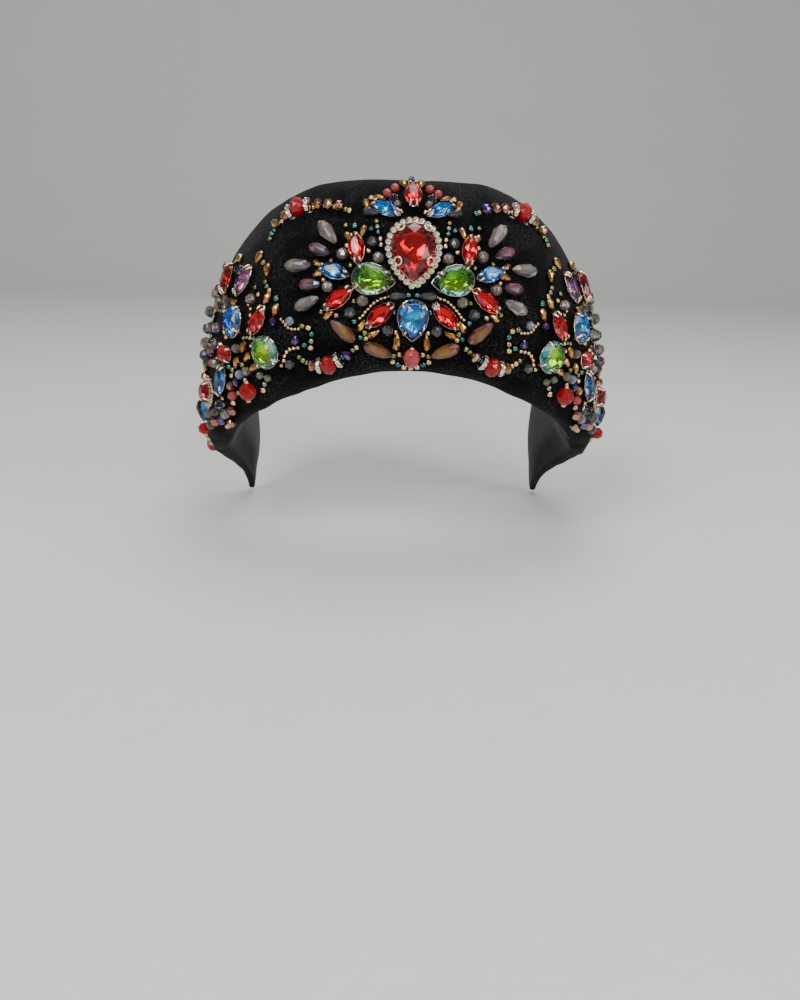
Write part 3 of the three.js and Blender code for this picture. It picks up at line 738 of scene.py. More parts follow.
@dataclass(frozen=True)
class BandForm:
    """Line of the band: arches in planes that fan out from the line through both ends; mm and degrees."""

    half_width: float = 92.5
    end_half: float = 79.0
    leg_reach: float = 84.0
    end_reach: float = 2.0
    side_widest: float = 90.0
    side_end: float = 134.0
    centre_reach: tuple[tuple[float, float], ...] = (
        (24, 122), (34, 146), (42, 165), (50, 180), (57, 188), (66, 188), (78, 179), (96, 162))
    brow_middle: float = 34.5
    brow_side: float = 29.0
    brow_end: float = 34.0
    brow_side_at: float = 75.0
    brow_leave_at: float = 85.0
    crown_middle: float = 62.5
    crown_side: float = 95.0
    crown_side_at: float = 95.0
    wall: float = 20.0
    end_wall: float = 5.0
    wall_taper: float = 60.0
    power: float = 3.0

    def reach_at(self, fan: float) -> float:
        """Reach of the outer face on the centre line, a smooth curve through the rows."""
        rows = self.centre_reach
        last = len(rows) - 1
        at = 0
        while at < last - 1 and fan > rows[at + 1][0]:
            at += 1

        def slope(index: int) -> float:
            """Slope of the curve at a row."""
            before, after = rows[max(index - 1, 0)], rows[min(index + 1, last)]
            return (after[1] - before[1]) / (after[0] - before[0])

        span = rows[at + 1][0] - rows[at][0]
        t = (fan - rows[at][0]) / span
        weight = (1 + 2 * t) * (1 - t) ** 2
        bend = span * (t * (1 - t) ** 2 * slope(at) - t * t * (1 - t) * slope(at + 1))
        return weight * rows[at][1] + (1 - weight) * rows[at + 1][1] + bend

    def edges(self, side: float) -> tuple[float, float]:
        """Fan angles of the brow edge and of the crown edge."""
        turn = abs(side)
        to_end = ease((turn - self.brow_leave_at) / (self.side_end - self.brow_leave_at))
        brow = lerp(self.brow_middle, self.brow_side, ease(turn / self.brow_side_at))
        crown = lerp(self.crown_middle, self.crown_side, ease(turn / self.crown_side_at))
        return brow + (self.brow_end - self.brow_side) * to_end, crown

    def wall_at(self, side: float) -> float:
        """Thickness of the padding."""
        left = clamp((self.side_end - abs(side)) / self.wall_taper)
        return lerp(self.end_wall, self.wall, math.sin(left * math.pi / 2))

    def swell(self, across: float) -> float:
        """Rounding of the padded edges, 1 in the middle and 0 on the edges."""
        return (1 - min(1.0, abs(across)) ** self.power) ** (1 / self.power)

    def face(self, side: float, fan: float) -> Vector:
        """Point of the outer face."""
        turn = min(abs(side), self.side_end)
        if turn <= self.side_widest:
            x = self.half_width * math.sin(math.radians(turn))
            reach = lerp(self.leg_reach, self.reach_at(fan), math.cos(math.radians(turn)))
        else:
            along = (turn - self.side_widest) / (self.side_end - self.side_widest)
            x = lerp(self.half_width, self.end_half, ease(along))
            reach = lerp(self.leg_reach, self.end_reach, along)
        angle = math.radians(fan)
        return Vector((math.copysign(x, side), -reach * math.cos(angle), reach * math.sin(angle)))

    @staticmethod
    def normal(surface: Callable[[float, float], Vector], side: float, fan: float) -> Vector:
        """Outward normal of a surface."""
        along = surface(side + STEP, fan) - surface(side - STEP, fan)
        across = surface(side, fan + STEP) - surface(side, fan - STEP)
        return along.cross(across).normalized()

    def skin(self, side: float, fan: float) -> Vector:
        """Point of the padded front, set back from the outer face towards the edges."""
        low, high = self.edges(side)
        across = clamp(2 * (fan - low) / (high - low) - 1, -1.0, 1.0)
        depth = self.wall_at(side) / 2 * (1 - self.swell(across))
        return self.face(side, fan) - self.normal(self.face, side, fan) * depth

    def ring(self, side: float, steps: int, slack: float) -> list[Vector]:
        """Padded section: up the front face and down the inside.

        Args:
            side: Side angle.
            steps: Steps on each face.
            slack: How far the section lies inside its full size.

        Returns:
            The section's points.
        """
        low, high = self.edges(side)
        half = self.wall_at(side) / 2
        points = []
        for step in range(2 * steps):
            across = -math.cos(math.pi * step / steps)
            fan = lerp(low, high, (1 + across * (1 - slack / 40)) / 2)
            facing = 1 if step <= steps else -1
            depth = half - facing * self.swell(across) * (half - slack)
            points.append(self.face(side, fan) - self.normal(self.face, side, fan) * depth)
        return points

    def seat(self, side: float, fan: float, turn: float, lift: float) -> Matrix:
        """Place on the velvet: Z along the normal, Y along the fan direction leant outwards by the turn."""
        normal = self.normal(self.skin, side, fan)
        up = self.skin(side, fan + STEP) - self.skin(side, fan - STEP)
        up = (up - normal * up.dot(normal)).normalized()
        up = Matrix.Rotation(-math.radians(turn), 3, normal) @ up
        right = up.cross(normal)
        spot = self.skin(side, fan) + normal * lift
        return Matrix.Translation(spot) @ Matrix((right, up, normal)).transposed().to_4x4()


FORM = BandForm()


@dataclass
class VelvetBand:
    """Padded velvet band: a sewn tube that swells between the stones that hold it down."""

    along_steps: int = 150
    face_steps: int = 28
    slack: float = 0.9
    pressure: float = 4.0
    frames: int = 20
    cap: float = 1.6
    crease: float = 0.55
    fill: float = 0.8
    tree: BVHTree | None = field(default=None, repr=False)

    def build(self, sewn: Sequence[tuple[Vector, float]]) -> bpy.types.Object:
        """Builds, swells and creases the band.

        Args:
            sewn: Place and reach of each stone that is sewn through the padding, in mm.

        Returns:
            The band.
        """
        bm = bmesh.new()
        inside = bm.verts.layers.float.new("inside")
        sides = [lerp(-FORM.side_end, FORM.side_end, i / self.along_steps)
                 for i in range(self.along_steps + 1)]
        rings = skin_rings(bm, [FORM.ring(side, self.face_steps, self.slack) for side in sides])
        bmesh.ops.poke(bm, faces=[face for face in bm.faces if len(face.verts) > 4])
        for ring in rings:
            for step, vert in enumerate(ring):
                back = (step - self.face_steps) / self.face_steps
                vert[inside] = ease((math.sin(math.pi * clamp(back)) - 0.12) * 6)
        for face in bm.faces:
            face.smooth = True
        bmesh.ops.scale(bm, vec=(MM, MM, MM), verts=bm.verts)
        mesh = to_shape(bm)
        mesh.name = "velvet_band_dressed"
        mesh.materials.append(VELVET.material())
        made = bpy.data.objects.new("velvet_band_dressed", mesh)
        bpy.context.scene.collection.objects.link(made)
        self.swell(made, sewn)
        self.creases(made)
        finer = made.modifiers.new("finer", "SUBSURF")
        finer.levels = finer.render_levels = 1
        tie(made, "velvet", ["velvet_band"])
        bpy.context.view_layer.update()
        self.tree = BVHTree.FromObject(made, bpy.context.evaluated_depsgraph_get())
        return made

    def swell(self, made: bpy.types.Object, sewn: Sequence[tuple[Vector, float]]) -> None:
        """Blows the padding up as cloth, held at the lining and under the stones, and caps its travel."""
        mesh = made.data
        rest = [vert.co.copy() for vert in mesh.vertices]
        lining = mesh.attributes["inside"].data
        pins = made.vertex_groups.new(name="sewn")
        for vert in mesh.vertices:
            spot = vert.co / MM
            held = max((1 - (spot - place).length / reach for place, reach in sewn), default=0.0)
            pins.add([vert.index], clamp(max(held * 2, lining[vert.index].value)), "REPLACE")
        cloth = made.modifiers.new("swell", "CLOTH")
        cloth.settings.use_pressure = True
        cloth.settings.uniform_pressure_force = self.pressure
        cloth.settings.effector_weights.gravity = 0.0
        cloth.settings.vertex_group_mass = pins.name
        cloth.settings.quality = 5
        cloth.point_cache.frame_end = self.frames
        scene = bpy.context.scene
        for step in range(1, self.frames + 1):
            scene.frame_set(step)
        blown = made.evaluated_get(bpy.context.evaluated_depsgraph_get()).to_mesh()
        moved = [vert.co.copy() for vert in blown.vertices]
        made.modifiers.remove(cloth)
        scene.frame_set(1)
        for vert, start, end in zip(mesh.vertices, rest, moved):
            way = end - start
            limit = self.cap * MM
            vert.co = start + (way if way.length <= limit else way * (limit / way.length))
        made.vertex_groups.remove(pins)

    def creases(self, made: bpy.types.Object) -> None:
        """Crushes the pile in small soft folds."""
        lining = made.data.attributes["inside"].data
        normals = [vert.normal.copy() for vert in made.data.vertices]
        for vert, normal in zip(made.data.vertices, normals):
            spot = vert.co / MM
            fold = noise.fractal(spot / 11, 1.0, 2.0, 3) + 0.5 * abs(noise.noise(spot / 5.5))
            vert.co += normal * (fold * self.crease * MM * (1 - 0.8 * lining[vert.index].value))

    def seat(self, side: float, fan: float, turn: float, lift: float) -> Matrix:
        """Place on the swollen velvet itself, found along the normal."""
        place = FORM.seat(side, fan, turn, lift)
        normal = place.col[2].to_3d()
        origin = place.translation + normal * 12
        hit = self.tree.ray_cast(origin * MM, -normal, 0.03)[0]
        if hit is not None:
            place.translation = hit / MM + normal * lift
        return place


# Stones


@dataclass(frozen=True)
class Stone:
    """A foiled stone in a metal cup with claws; sizes in mm, turn is the lean of its long axis outwards."""

    name: str
    cut: Cut
    glass: Glass
    slot: str
    side: float
    fan: float
    turn: float
    width: float
    length: float
    height: float
    halo: bool = False

    point_power = 1.7
    pear_head = 0.4
    halo_width = 2.5
    large_from = 15.0
    large_chaton = (2.6, 2.1)
    small_chaton = (2.4, 1.8)
    loop_at = 0.92
    loop_height = 0.78
    loop_tilt = 38.0
    loop_radius = 1.55
    loop_wire = 0.38

    def outline_point(self, angle: float, grow: float = 0.0) -> Vector:
        """Point of the girdle at an angle, with the size grown all round."""
        width, length = self.width + grow, self.length + grow
        c, s = math.cos(angle), math.sin(angle)
        pointed = math.copysign(abs(c) ** self.point_power, c)
        if self.cut is Cut.NAVETTE:
            return Vector((width / 2 * pointed, length / 2 * s, 0))
        if self.cut is Cut.OVAL:
            return Vector((width / 2 * c, length / 2 * s, 0))
        share = self.pear_head if s > 0 else 1 - self.pear_head
        return Vector((width / 2 * (c if s > 0 else pointed), length * (share * s + 0.5 - self.pear_head), 0))

    def level(self, sides: int, share: float, height: float, start: float = 0.0) -> list[Vector]:
        """Ring of facet corners at a share of the outline and height; start is in steps from the point."""
        points = []
        for i in range(sides):
            spot = self.outline_point(-math.pi / 2 + 2 * math.pi * (i + start) / sides) * share
            points.append(Vector((spot.x, spot.y, self.height * height)))
        return points

    @property
    def sides(self) -> int:
        """Facets round the table."""
        return 6 if self.cut is Cut.NAVETTE else 8

    def crystal(self) -> bpy.types.Mesh:
        """Cut glass: table, star and girdle facets over a pavilion."""
        n = self.sides
        rows = [self.level(n, 0.52, 1.0), self.level(n, 0.80, 0.80, 0.5), self.level(2 * n, 0.955, 0.50),
                self.level(2 * n, 0.955, 0.44), self.level(n, 0.52, 0.17, 0.5), self.level(n, 0.14, 0.09)]
        return hull_shape(p for row in rows for p in row)

    def cup(self) -> bpy.types.Mesh:
        """Metal cup with a foiled hollow that the pavilion sits in."""
        n = 2 * self.sides
        rows = ((0.80, 0.0), (1.0, 0.36), (1.0, 0.43), (0.985, 0.44), (0.56, 0.14), (0.16, 0.05))
        bm = bmesh.new()
        rings = skin_rings(bm, [self.level(n, share, height) for share, height in rows])
        foiled = {vert for ring in rings[3:] for vert in ring}
        for face in bm.faces:
            face.material_index = int(set(face.verts) <= foiled)
        return to_shape(bm)

    def claw(self, angle: float) -> bpy.types.Mesh:
        """Prong that rises from the cup and bends over the crown."""
        foot = self.outline_point(angle)
        rows = ((1.0, 0.10, 0.0, 0.42), (1.05, 0.42, 0.0, 0.5), (1.0, 0.58, 0.15, 0.52),
                (0.90, 0.74, 0.2, 0.5), (0.80, 0.86, 0.15, 0.42), (0.77, 0.88, 0.05, 0.2))
        path = [Vector((foot.x * share, foot.y * share, self.height * rise + lift))
                for share, rise, lift, _ in rows]
        return wire(path, [radius for *_, radius in rows], 7)

    @property
    def large(self) -> bool:
        """Whether it is the main stone, held by loops."""
        return self.width > self.large_from

    def claw_angles(self) -> tuple[float, ...]:
        """Angles of the claws round the outline."""
        if self.cut is Cut.NAVETTE:
            return tuple(math.radians(a) for a in (58, 122, 238, 302))
        return tuple(math.radians(a) for a in ((48, 132, 210, 330) if self.large else (45, 135, 225, 315)))

    def loop_claw(self, angle: float) -> bpy.types.Mesh:
        """Loop of wire that lies on the crown of the largest stone."""
        spot = self.outline_point(angle) * self.loop_at
        lean = Vector((spot.x, spot.y, 0)).normalized()
        tilt = Matrix.Rotation(math.radians(self.loop_tilt), 3, Vector((-lean.y, lean.x, 0)))
        centre = Vector((spot.x, spot.y, self.height * self.loop_height))
        bm = bmesh.new()
        section = bmesh.ops.create_circle(bm, cap_ends=False, segments=7, radius=self.loop_wire)["verts"]
        bmesh.ops.rotate(bm, verts=section, cent=(0, 0, 0), matrix=Matrix.Rotation(math.pi / 2, 3, "X"))
        bmesh.ops.translate(bm, verts=section, vec=(self.loop_radius, 0, 0))
        edges = list(bm.edges)
        bmesh.ops.spin(bm, geom=list(section) + edges, cent=(0, 0, 0), axis=(0, 0, 1), angle=2 * math.pi,
                       steps=18, use_merge=True)
        bmesh.ops.remove_doubles(bm, verts=bm.verts, dist=0.001)
        bmesh.ops.transform(bm, matrix=Matrix.Translation(centre) @ tilt.to_4x4(), verts=bm.verts)
        for face in bm.faces:
            face.smooth = True
        return to_shape(bm)

    def halo_places(self, pitch: float) -> list[Vector]:
        """Places of the small crystals round the stone, evenly spaced."""
        fine = [self.outline_point(2 * math.pi * i / 400, self.halo_width) for i in range(401)]
        run = [0.0]
        for before, after in zip(fine, fine[1:]):
            run.append(run[-1] + (after - before).length)
        count = round(run[-1] / pitch)
        steps = [run[-1] * k / count for k in range(count)]
        return [fine[next(i for i, length in enumerate(run) if length >= step)] for step in steps]

    def build(self, node: str, place: Matrix, seed: int) -> bpy.types.Object:
        """Joins the stone, its cup, claws and halo.

        Args:
            node: The CAD node that it stands for.
            place: Its seat on the velvet.
            seed: Start of its random draws.

        Returns:
            The piece.
        """
        piece = Piece(f"{node}_set", [self.glass, CLAW_GOLD, FOILS[self.glass]], seed)
        reach = (self.width / 2, self.length / 2)
        piece.add(self.crystal(), place, [self.glass], reach)
        piece.add(self.cup(), place, [CLAW_GOLD, FOILS[self.glass]], reach)
        for angle in self.claw_angles():
            piece.add(self.loop_claw(angle) if self.large else self.claw(angle), place, [CLAW_GOLD])
        if self.halo:
            width, rise = self.large_chaton if self.large else self.small_chaton
            for spot in self.halo_places(width * 0.97):
                at = place @ Matrix.Translation(spot)
                piece.add(Shapes.chaton_cup(width, rise), at, [CLAW_GOLD])
                piece.add(Shapes.chaton(width, rise), at, [CRYSTAL])
        return piece.place(self.slot, [node])


CENTRE_STONES = (
    Stone("navette_top", Cut.NAVETTE, RED, "glass_red", 0, 55.9, 0, 7.6, 14, 4.4),
    Stone("pear_centre", Cut.PEAR, RED, "glass_red", 0, 48.7, 0, 17.6, 24, 7.4, halo=True),
    Stone("pear_blue", Cut.PEAR, BLUE, "glass_blue", 0, 41.6, 0, 12.6, 16.4, 6),
)
PAIRED_STONES = (
    Stone("navette_blue_top", Cut.NAVETTE, BLUE, "glass_blue", 6.6, 54, 60, 6.2, 13.6, 4),
    Stone("pear_green", Cut.PEAR, GREEN, "glass_green", 9.5, 46, 82, 12.6, 17.6, 6),
    Stone("navette_red_upper", Cut.NAVETTE, RED, "glass_red", 13.7, 49.7, 8, 6.8, 13.5, 4.4),
    Stone("navette_blue_side", Cut.NAVETTE, BLUE, "glass_blue", 19.3, 47.6, 70, 6.4, 13.5, 4.2),
    Stone("navette_red_mid", Cut.NAVETTE, RED, "glass_red", 18.2, 44.5, 127, 6.8, 15, 4.4),
    Stone("navette_red_lower", Cut.NAVETTE, RED, "glass_red", 8, 42.2, 132, 6.8, 15, 4.4),
    Stone("side_navette_red", Cut.NAVETTE, RED, "glass_red", 54.8, 56, -24, 6.8, 15, 4.4),
    Stone("side_navette_lilac", Cut.NAVETTE, LILAC, "glass_lilac", 46.8, 52, -46, 6.8, 15, 4.4),
    Stone("side_oval_blue", Cut.OVAL, BLUE, "glass_blue", 50.8, 47, 0, 10.8, 14.2, 5.4),
    Stone("side_navette_inner", Cut.NAVETTE, RED, "glass_red", 41.6, 44.9, -34, 6.8, 14, 4.4),
    Stone("side_oval_green", Cut.OVAL, GREEN, "glass_green", 39.2, 40.4, 20, 12.8, 13.8, 5.8),
    Stone("side_oval_red", Cut.OVAL, RED, "glass_red", 55.6, 43.2, 75, 7.5, 9.5, 4.2),
    Stone("side_navette_teal", Cut.NAVETTE, TEAL, "glass_teal", 58.6, 39.6, -20, 6.8, 15, 4.4),
    Stone("side_halo_red", Cut.OVAL, RED, "glass_red", 69, 40, 0, 8, 10, 5, halo=True),
)


# Drops, single beads and strings


@dataclass(frozen=True)
class Hung:
    """A drop or a bead that lies on the velvet; turn is the lean of its thick end outwards."""

    name: str
    form: Form
    finish: Finish
    slot: str
    side: float
    fan: float
    turn: float
    width: float
    length: float

    def lift(self) -> float:
        """Height of the axis over the velvet."""
        sides = 8 if self.form is Form.DROP else 10
        return self.width / 2 * math.cos(math.pi / sides) + SEAT_GAP

    def build(self, node: str, place: Matrix, seed: int) -> bpy.types.Object:
        """Makes the piece at its seat in place of its node."""
        piece = Piece(f"{node}_cut", [self.finish], seed)
        if self.form is Form.DROP:
            reach = (self.width / 2, self.length / 2)
            piece.add(Shapes.drop(self.width, self.length), place, [self.finish], reach)
        else:
            piece.add(Shapes.rondelle(self.width, self.length), place, [self.finish])
            for end in (-1, 1):
                at = place @ Matrix.Translation((0, end * (self.length / 2 + 0.5), 0))
                piece.add(Shapes.seed(2.2, 1.5), at, [SEED_GOLD])
        return piece.place(self.slot, [node])


CENTRE_HUNG = (Hung("bead_brow", Form.ROUND, ROSE, "coral", 0, 37.7, 0, 7, 7.2),)
PAIRED_HUNG = (
    Hung("drop_upper", Form.DROP, GREY, "crystal_grey", 20.7, 52.2, 35, 6, 12),
    Hung("drop_wine", Form.DROP, MAUVE, "crystal_mauve", 22.8, 50.4, 65, 5.4, 9.5),
    Hung("drop_outer", Form.DROP, GREY, "crystal_grey", 28.6, 49.4, 85, 5.8, 11.5),
    Hung("drop_mid", Form.DROP, MAUVE, "crystal_mauve", 25.4, 46.7, 92, 5.4, 8.5),
    Hung("drop_champagne", Form.DROP, GREY, "crystal_grey", 26.3, 44.7, 112, 5.6, 10.5),
    Hung("drop_lower", Form.DROP, AMBER, "crystal_amber", 17, 40.9, -130, 5.8, 12),
    Hung("drop_brow", Form.DROP, AMBER, "crystal_amber", 8.3, 38.5, 70, 5.8, 11.5),
    Hung("side_bead_red", Form.ROUND, CORAL, "coral", 45.8, 36, 0, 7.6, 7),
)


class Strung(Enum):
    """Beads of the strings, with their diameter and the room that they take along the thread."""

    ROUND = (5.0, 4.9)
    SMALL = (4.0, 3.9)
    RONDELLE = (8.0, 10.6)


StrungPart = tuple[bpy.types.Mesh, list[Finish], float, float, float]


@dataclass(frozen=True)
class BeadString:
    """A string of beads, seeds and spacers that lies along the velvet."""

    name: str
    places: tuple[tuple[float, float], ...]
    beads: tuple[Strung, ...]
    samples: int = 400

    def route(self, sign: int) -> list[tuple[float, float]]:
        """Side and fan angles along the thread, a smooth curve through its places."""
        ends = [(2 * a[0] - b[0], 2 * a[1] - b[1]) for a, b in
                ((self.places[0], self.places[1]), (self.places[-1], self.places[-2]))]
        rows = [ends[0], *self.places, ends[1]]
        found = []
        spans = len(self.places) - 1
        for k in range(self.samples + 1):
            at = min(int(k / self.samples * spans), spans - 1)
            t = k / self.samples * spans - at
            p0, p1, p2, p3 = (Vector(row) for row in rows[at:at + 4])
            spot = (2 * p1 + (p2 - p0) * t + (2 * p0 - 5 * p1 + 4 * p2 - p3) * t * t
                    + (3 * p1 - p0 - 3 * p2 + p3) * t * t * t) / 2
            found.append((sign * spot.x, spot.y))
        return found

    def build(self, node: str, sign: int, seed: int) -> bpy.types.Object:
        """Threads the beads.

        Args:
            node: The CAD node that the string stands for.
            sign: Half of the headdress, 1 or -1.
            seed: Start of its random draws.

        Returns:
            The piece.
        """
        piece = Piece(f"{node}_strung", [AURORA], seed)
        angles = self.route(sign)
        spots = [FORM.skin(*angle) for angle in angles]
        run = [0.0]
        for before, after in zip(spots, spots[1:]):
            run.append(run[-1] + (after - before).length)
        used = (run[-1] - sum(bead.value[1] for bead in self.beads)) / 2
        line = []
        for bead in self.beads:
            for shape, finishes, width, start, length in self.parts(bead, piece.draw):
                middle = used + start + length / 2
                at = next((i for i, length_so_far in enumerate(run) if length_so_far >= middle), len(run) - 1)
                normal = FORM.normal(FORM.skin, *angles[at])
                along = (spots[min(at + 3, len(spots) - 1)] - spots[max(at - 3, 0)]).normalized()
                centre = spots[at] + normal * (width / 2 * 0.93 + SEAT_GAP)
                across = along.cross(normal).normalized()
                place = Matrix((across, along, across.cross(along))).transposed().to_4x4()
                piece.add(shape, Matrix.Translation(centre) @ place, finishes)
                line.append(centre)
            used += bead.value[1]
        piece.add(wire(line, [0.35] * len(line), 6), Matrix.Identity(4), [THREAD])
        return piece.place("beads", [node])

    @staticmethod
    def parts(bead: Strung, draw: random.Random) -> list[StrungPart]:
        """Shapes of one bead with its seeds or spacers.

        Args:
            bead: The kind of bead.
            draw: Random draws that pick the colours.

        Returns:
            Shape, finishes, diameter, start along the thread and length of each.
        """
        seed = draw.choice((SEED_GOLD, OLIVE, TEAL_IRIS))
        if bead is Strung.ROUND:
            glaze = draw.choice((AURORA, AURORA, AURORA, PURPLE))
            return [(Shapes.round(4.9, 3.3), [glaze], 4.9, 0.0, 3.3),
                    (Shapes.seed(2.4, 1.5), [seed], 2.4, 3.4, 1.5)]
        if bead is Strung.SMALL:
            return [(Shapes.seed(2.7, 1.9), [seed], 2.7, 0.0, 1.9),
                    (Shapes.seed(2.4, 1.9), [OLIVE], 2.4, 2.0, 1.9)]
        spacer = BeadString.spacer()
        return [(spacer, [CLAW_GOLD, CRYSTAL], 6.0, 0.0, 2.2),
                (Shapes.rondelle(8.0, 5.9), [CORAL], 8.0, 2.3, 5.9),
                (spacer, [CLAW_GOLD, CRYSTAL], 6.0, 8.3, 2.2)]

    @staticmethod
    def spacer(width: float = 6.0, length: float = 2.2, count: int = 9) -> bpy.types.Mesh:
        """Gold ring set with small crystals round its rim."""

        def make() -> bpy.types.Mesh:
            """Joins the ring and its crystals."""
            bm = bmesh.new()
            rows = ((0.0, 0.42), (0.1, 0.78), (0.3, 0.84), (0.7, 0.84), (0.9, 0.78), (1.0, 0.42))
            skin_rings(bm, [circle_points(18, width / 2 * r, length * (a - 0.5)) for a, r in rows])
            bmesh.ops.recalc_face_normals(bm, faces=bm.faces)
            ring = len(bm.faces)
            crystal = Shapes.chaton(length * 0.95, length * 0.55)
            for k in range(count):
                first = len(bm.verts)
                bm.from_mesh(crystal)
                bm.verts.ensure_lookup_table()
                turn = Matrix.Rotation(2 * math.pi * k / count, 4, "Y")
                out = turn @ Matrix.Translation((0, 0, width / 2 * 0.84 - length * 0.3))
                bmesh.ops.transform(bm, matrix=out, verts=bm.verts[first:])
            bm.faces.ensure_lookup_table()
            for face in bm.faces[ring:]:
                face.material_index = 1
            mesh = bpy.data.meshes.new("spacer")
            bm.to_mesh(mesh)
            bm.free()
            return mesh

        return Shapes.keep(("spacer", width, length), make)


S, R, D = Strung.SMALL, Strung.ROUND, Strung.RONDELLE
STRINGS = (
    BeadString("string_upper", ((12.2, 53.2), (17, 55), (23, 56.6), (29.3, 57.4), (34, 57.4), (37.3, 56.2),
                                (39.2, 53.8)), (S, R, R, R, D, R, R, S)),
    BeadString("string_lower", ((13.4, 39), (17.6, 37.9), (21.4, 37.4), (26, 37.6), (29.4, 38.8)),
               (S, R, D, R, S)),
    BeadString("string_end", ((82, 39), (94, 40.5), (107, 43), (120, 48), (130, 56)), (R, R, D, R, S, S, S)),
)


# Small trimmings


@dataclass
class Trim:
    """A small bead between the stones; it may be nudged clear of its neighbours."""

    form: Form
    finish: Finish
    side: float
    fan: float
    width: float
    length: float
    turn: float = 0.0
    single: bool = False

    @property
    def radius(self) -> float:
        """Room that the bead takes on the velvet."""
        return (self.width + self.length) / 4 if self.form is Form.DROP else self.width / 2

    def shape(self) -> bpy.types.Mesh:
        """The bead's template."""
        make = {Form.SEED: Shapes.seed, Form.ROUND: Shapes.round, Form.DROP: Shapes.drop}[self.form]
        return make(self.width, self.length)


def seeds(finishes: Sequence[Finish], width: float, places: Sequence[tuple[float, float]],
          count: int) -> list[Trim]:
    """Row of seeds along a line through places.

    Args:
        finishes: Finishes that take turns.
        width: Diameter.
        places: Side and fan angles of the line.
        count: Number of seeds.

    Returns:
        The seeds.
    """
    legs = [(FORM.skin(*a) - FORM.skin(*b)).length for a, b in zip(places, places[1:])]
    pitch = sum(legs) / (count - 1)
    spots = []
    for k in range(count):
        leg, rest = 0, k * pitch
        while leg < len(legs) - 1 and rest > legs[leg]:
            rest -= legs[leg]
            leg += 1
        spots.append(tuple(lerp(a, b, rest / legs[leg]) for a, b in zip(places[leg], places[leg + 1])))
    size = min(width, pitch)
    return [Trim(Form.SEED, finishes[k % len(finishes)], side, fan, size, size * 0.86, 90.0)
            for k, (side, fan) in enumerate(spots)]


def gold_drop(side: float, fan: float, turn: float, width: float = 3.1, length: float = 4.8) -> Trim:
    """Bronze-glazed drop."""
    return Trim(Form.DROP, BRONZE, side, fan, width, length, turn)


def seed(finish: Finish, side: float, fan: float, width: float = 2.4) -> Trim:
    """One seed."""
    return Trim(Form.SEED, finish, side, fan, width, width * 0.86)


def cut_round(finish: Finish, side: float, fan: float, width: float, single: bool = False) -> Trim:
    """One faceted round bead."""
    return Trim(Form.ROUND, finish, side, fan, width, width * 0.88, single=single)


def centre_trims() -> list[Trim]:
    """Trimmings of the middle motif, one half."""
    return [
        cut_round(TEAL_IRIS, 0, 60.2, 2.9, single=True), gold_drop(2.2, 58.4, 12, 3.3, 5.0),
        cut_round(ROSE, 4.4, 57.5, 3.6), cut_round(ROSE, 6.6, 56.6, 3.6),
        cut_round(CRYSTAL, 4.8, 55.8, 3.8), cut_round(CHAMPAGNE, 3.9, 54.9, 3.0),
        gold_drop(8.2, 56.1, 72, 3.1, 5.2), seed(SEED_GOLD, 10.2, 56.2, 2.6),
        gold_drop(10.8, 54.9, 20, 3.5, 4.9), seed(SEED_GOLD, 3.4, 53.8, 2.4), seed(OLIVE, 9.0, 53.0),
        seed(STEEL_IRIS, 8.8, 52.2), seed(TEAL_IRIS, 8.6, 51.4, 2.4), seed(SEED_GOLD, 8.2, 50.6, 2.3),
        seed(SEED_GOLD, 7.9, 49.9, 2.3), cut_round(SMOKE, 10.2, 50.1, 4.6),
        cut_round(CHAMPAGNE, 7.2, 47.8, 4.8), gold_drop(16.0, 51.4, 30, 3.3, 4.8),
        seed(TEAL_IRIS, 14.1, 52.8, 2.8), gold_drop(12.2, 51.8, -25, 3.1, 5.0),
        seed(SEED_GOLD, 16.4, 50.4), cut_round(CHAMPAGNE, 17.3, 49.4, 5.0), seed(OLIVE, 15.4, 48.0, 2.6),
        seed(SEED_GOLD, 11.4, 49.6, 2.4), gold_drop(22.6, 49.1, 65, 3.3, 5.0),
        gold_drop(23.7, 47.9, 95, 3.3, 5.0), seed(OLIVE, 21.2, 49.4),
        cut_round(CHAMPAGNE, 21.6, 46.2, 4.8), seed(SEED_GOLD, 23.0, 46.8),
        gold_drop(20.6, 42.9, 130, 3.3, 5.0), seed(SEED_GOLD, 19.3, 42.4), seed(OLIVE, 22.0, 43.5),
        cut_round(SMOKE, 15.4, 42.7, 4.8), cut_round(CHAMPAGNE, 12.4, 43.9, 4.8), seed(OLIVE, 14.4, 44.0),
        Trim(Form.DROP, SMOKE, 3.9, 44.2, 3.6, 7.2, 90.0), seed(TEAL_IRIS, 1.0, 44.4, 2.8),
        Trim(Form.DROP, SMOKE, 12.4, 53.4, 3.8, 6.4, 75.0), seed(OLIVE, 15.2, 54.0),
        seed(TEAL_IRIS, 10.4, 51.9),
        *seeds((SEED_GOLD,), 2.0, ((6.0, 44.3), (8.3, 43.9), (10.2, 43.3), (11.7, 42.6), (12.9, 41.9)), 10),
        seed(TEAL_IRIS, 13.9, 41.6, 2.7), cut_round(SMOKE, 5.7, 40.5, 4.6),
        seed(TEAL_IRIS, 5.2, 42.4, 2.5), gold_drop(12.2, 41.1, 150, 3.3, 5.2),
        seed(OLIVE, 12.0, 40.1, 2.8), gold_drop(9.7, 40.2, 120, 3.3, 5.4),
        gold_drop(3.7, 39.2, 175, 3.8, 6.6), seed(SEED_GOLD, 3.5, 40.5, 2.4),
        seed(SEED_GOLD, 3.5, 37.7, 2.4),
        *seeds((OLIVE, SEED_GOLD, TEAL_IRIS, SEED_GOLD), 2.5, ((5.4, 37.8), (4.1, 36.8), (1.7, 36.2)), 4),
        Trim(Form.SEED, OLIVE, 0, 36.0, 2.5, 2.1, 90.0, single=True),
        *seeds((TEAL_IRIS, SEED_GOLD), 2.6, ((12.0, 39.6), (12.6, 39.0)), 2),
    ]


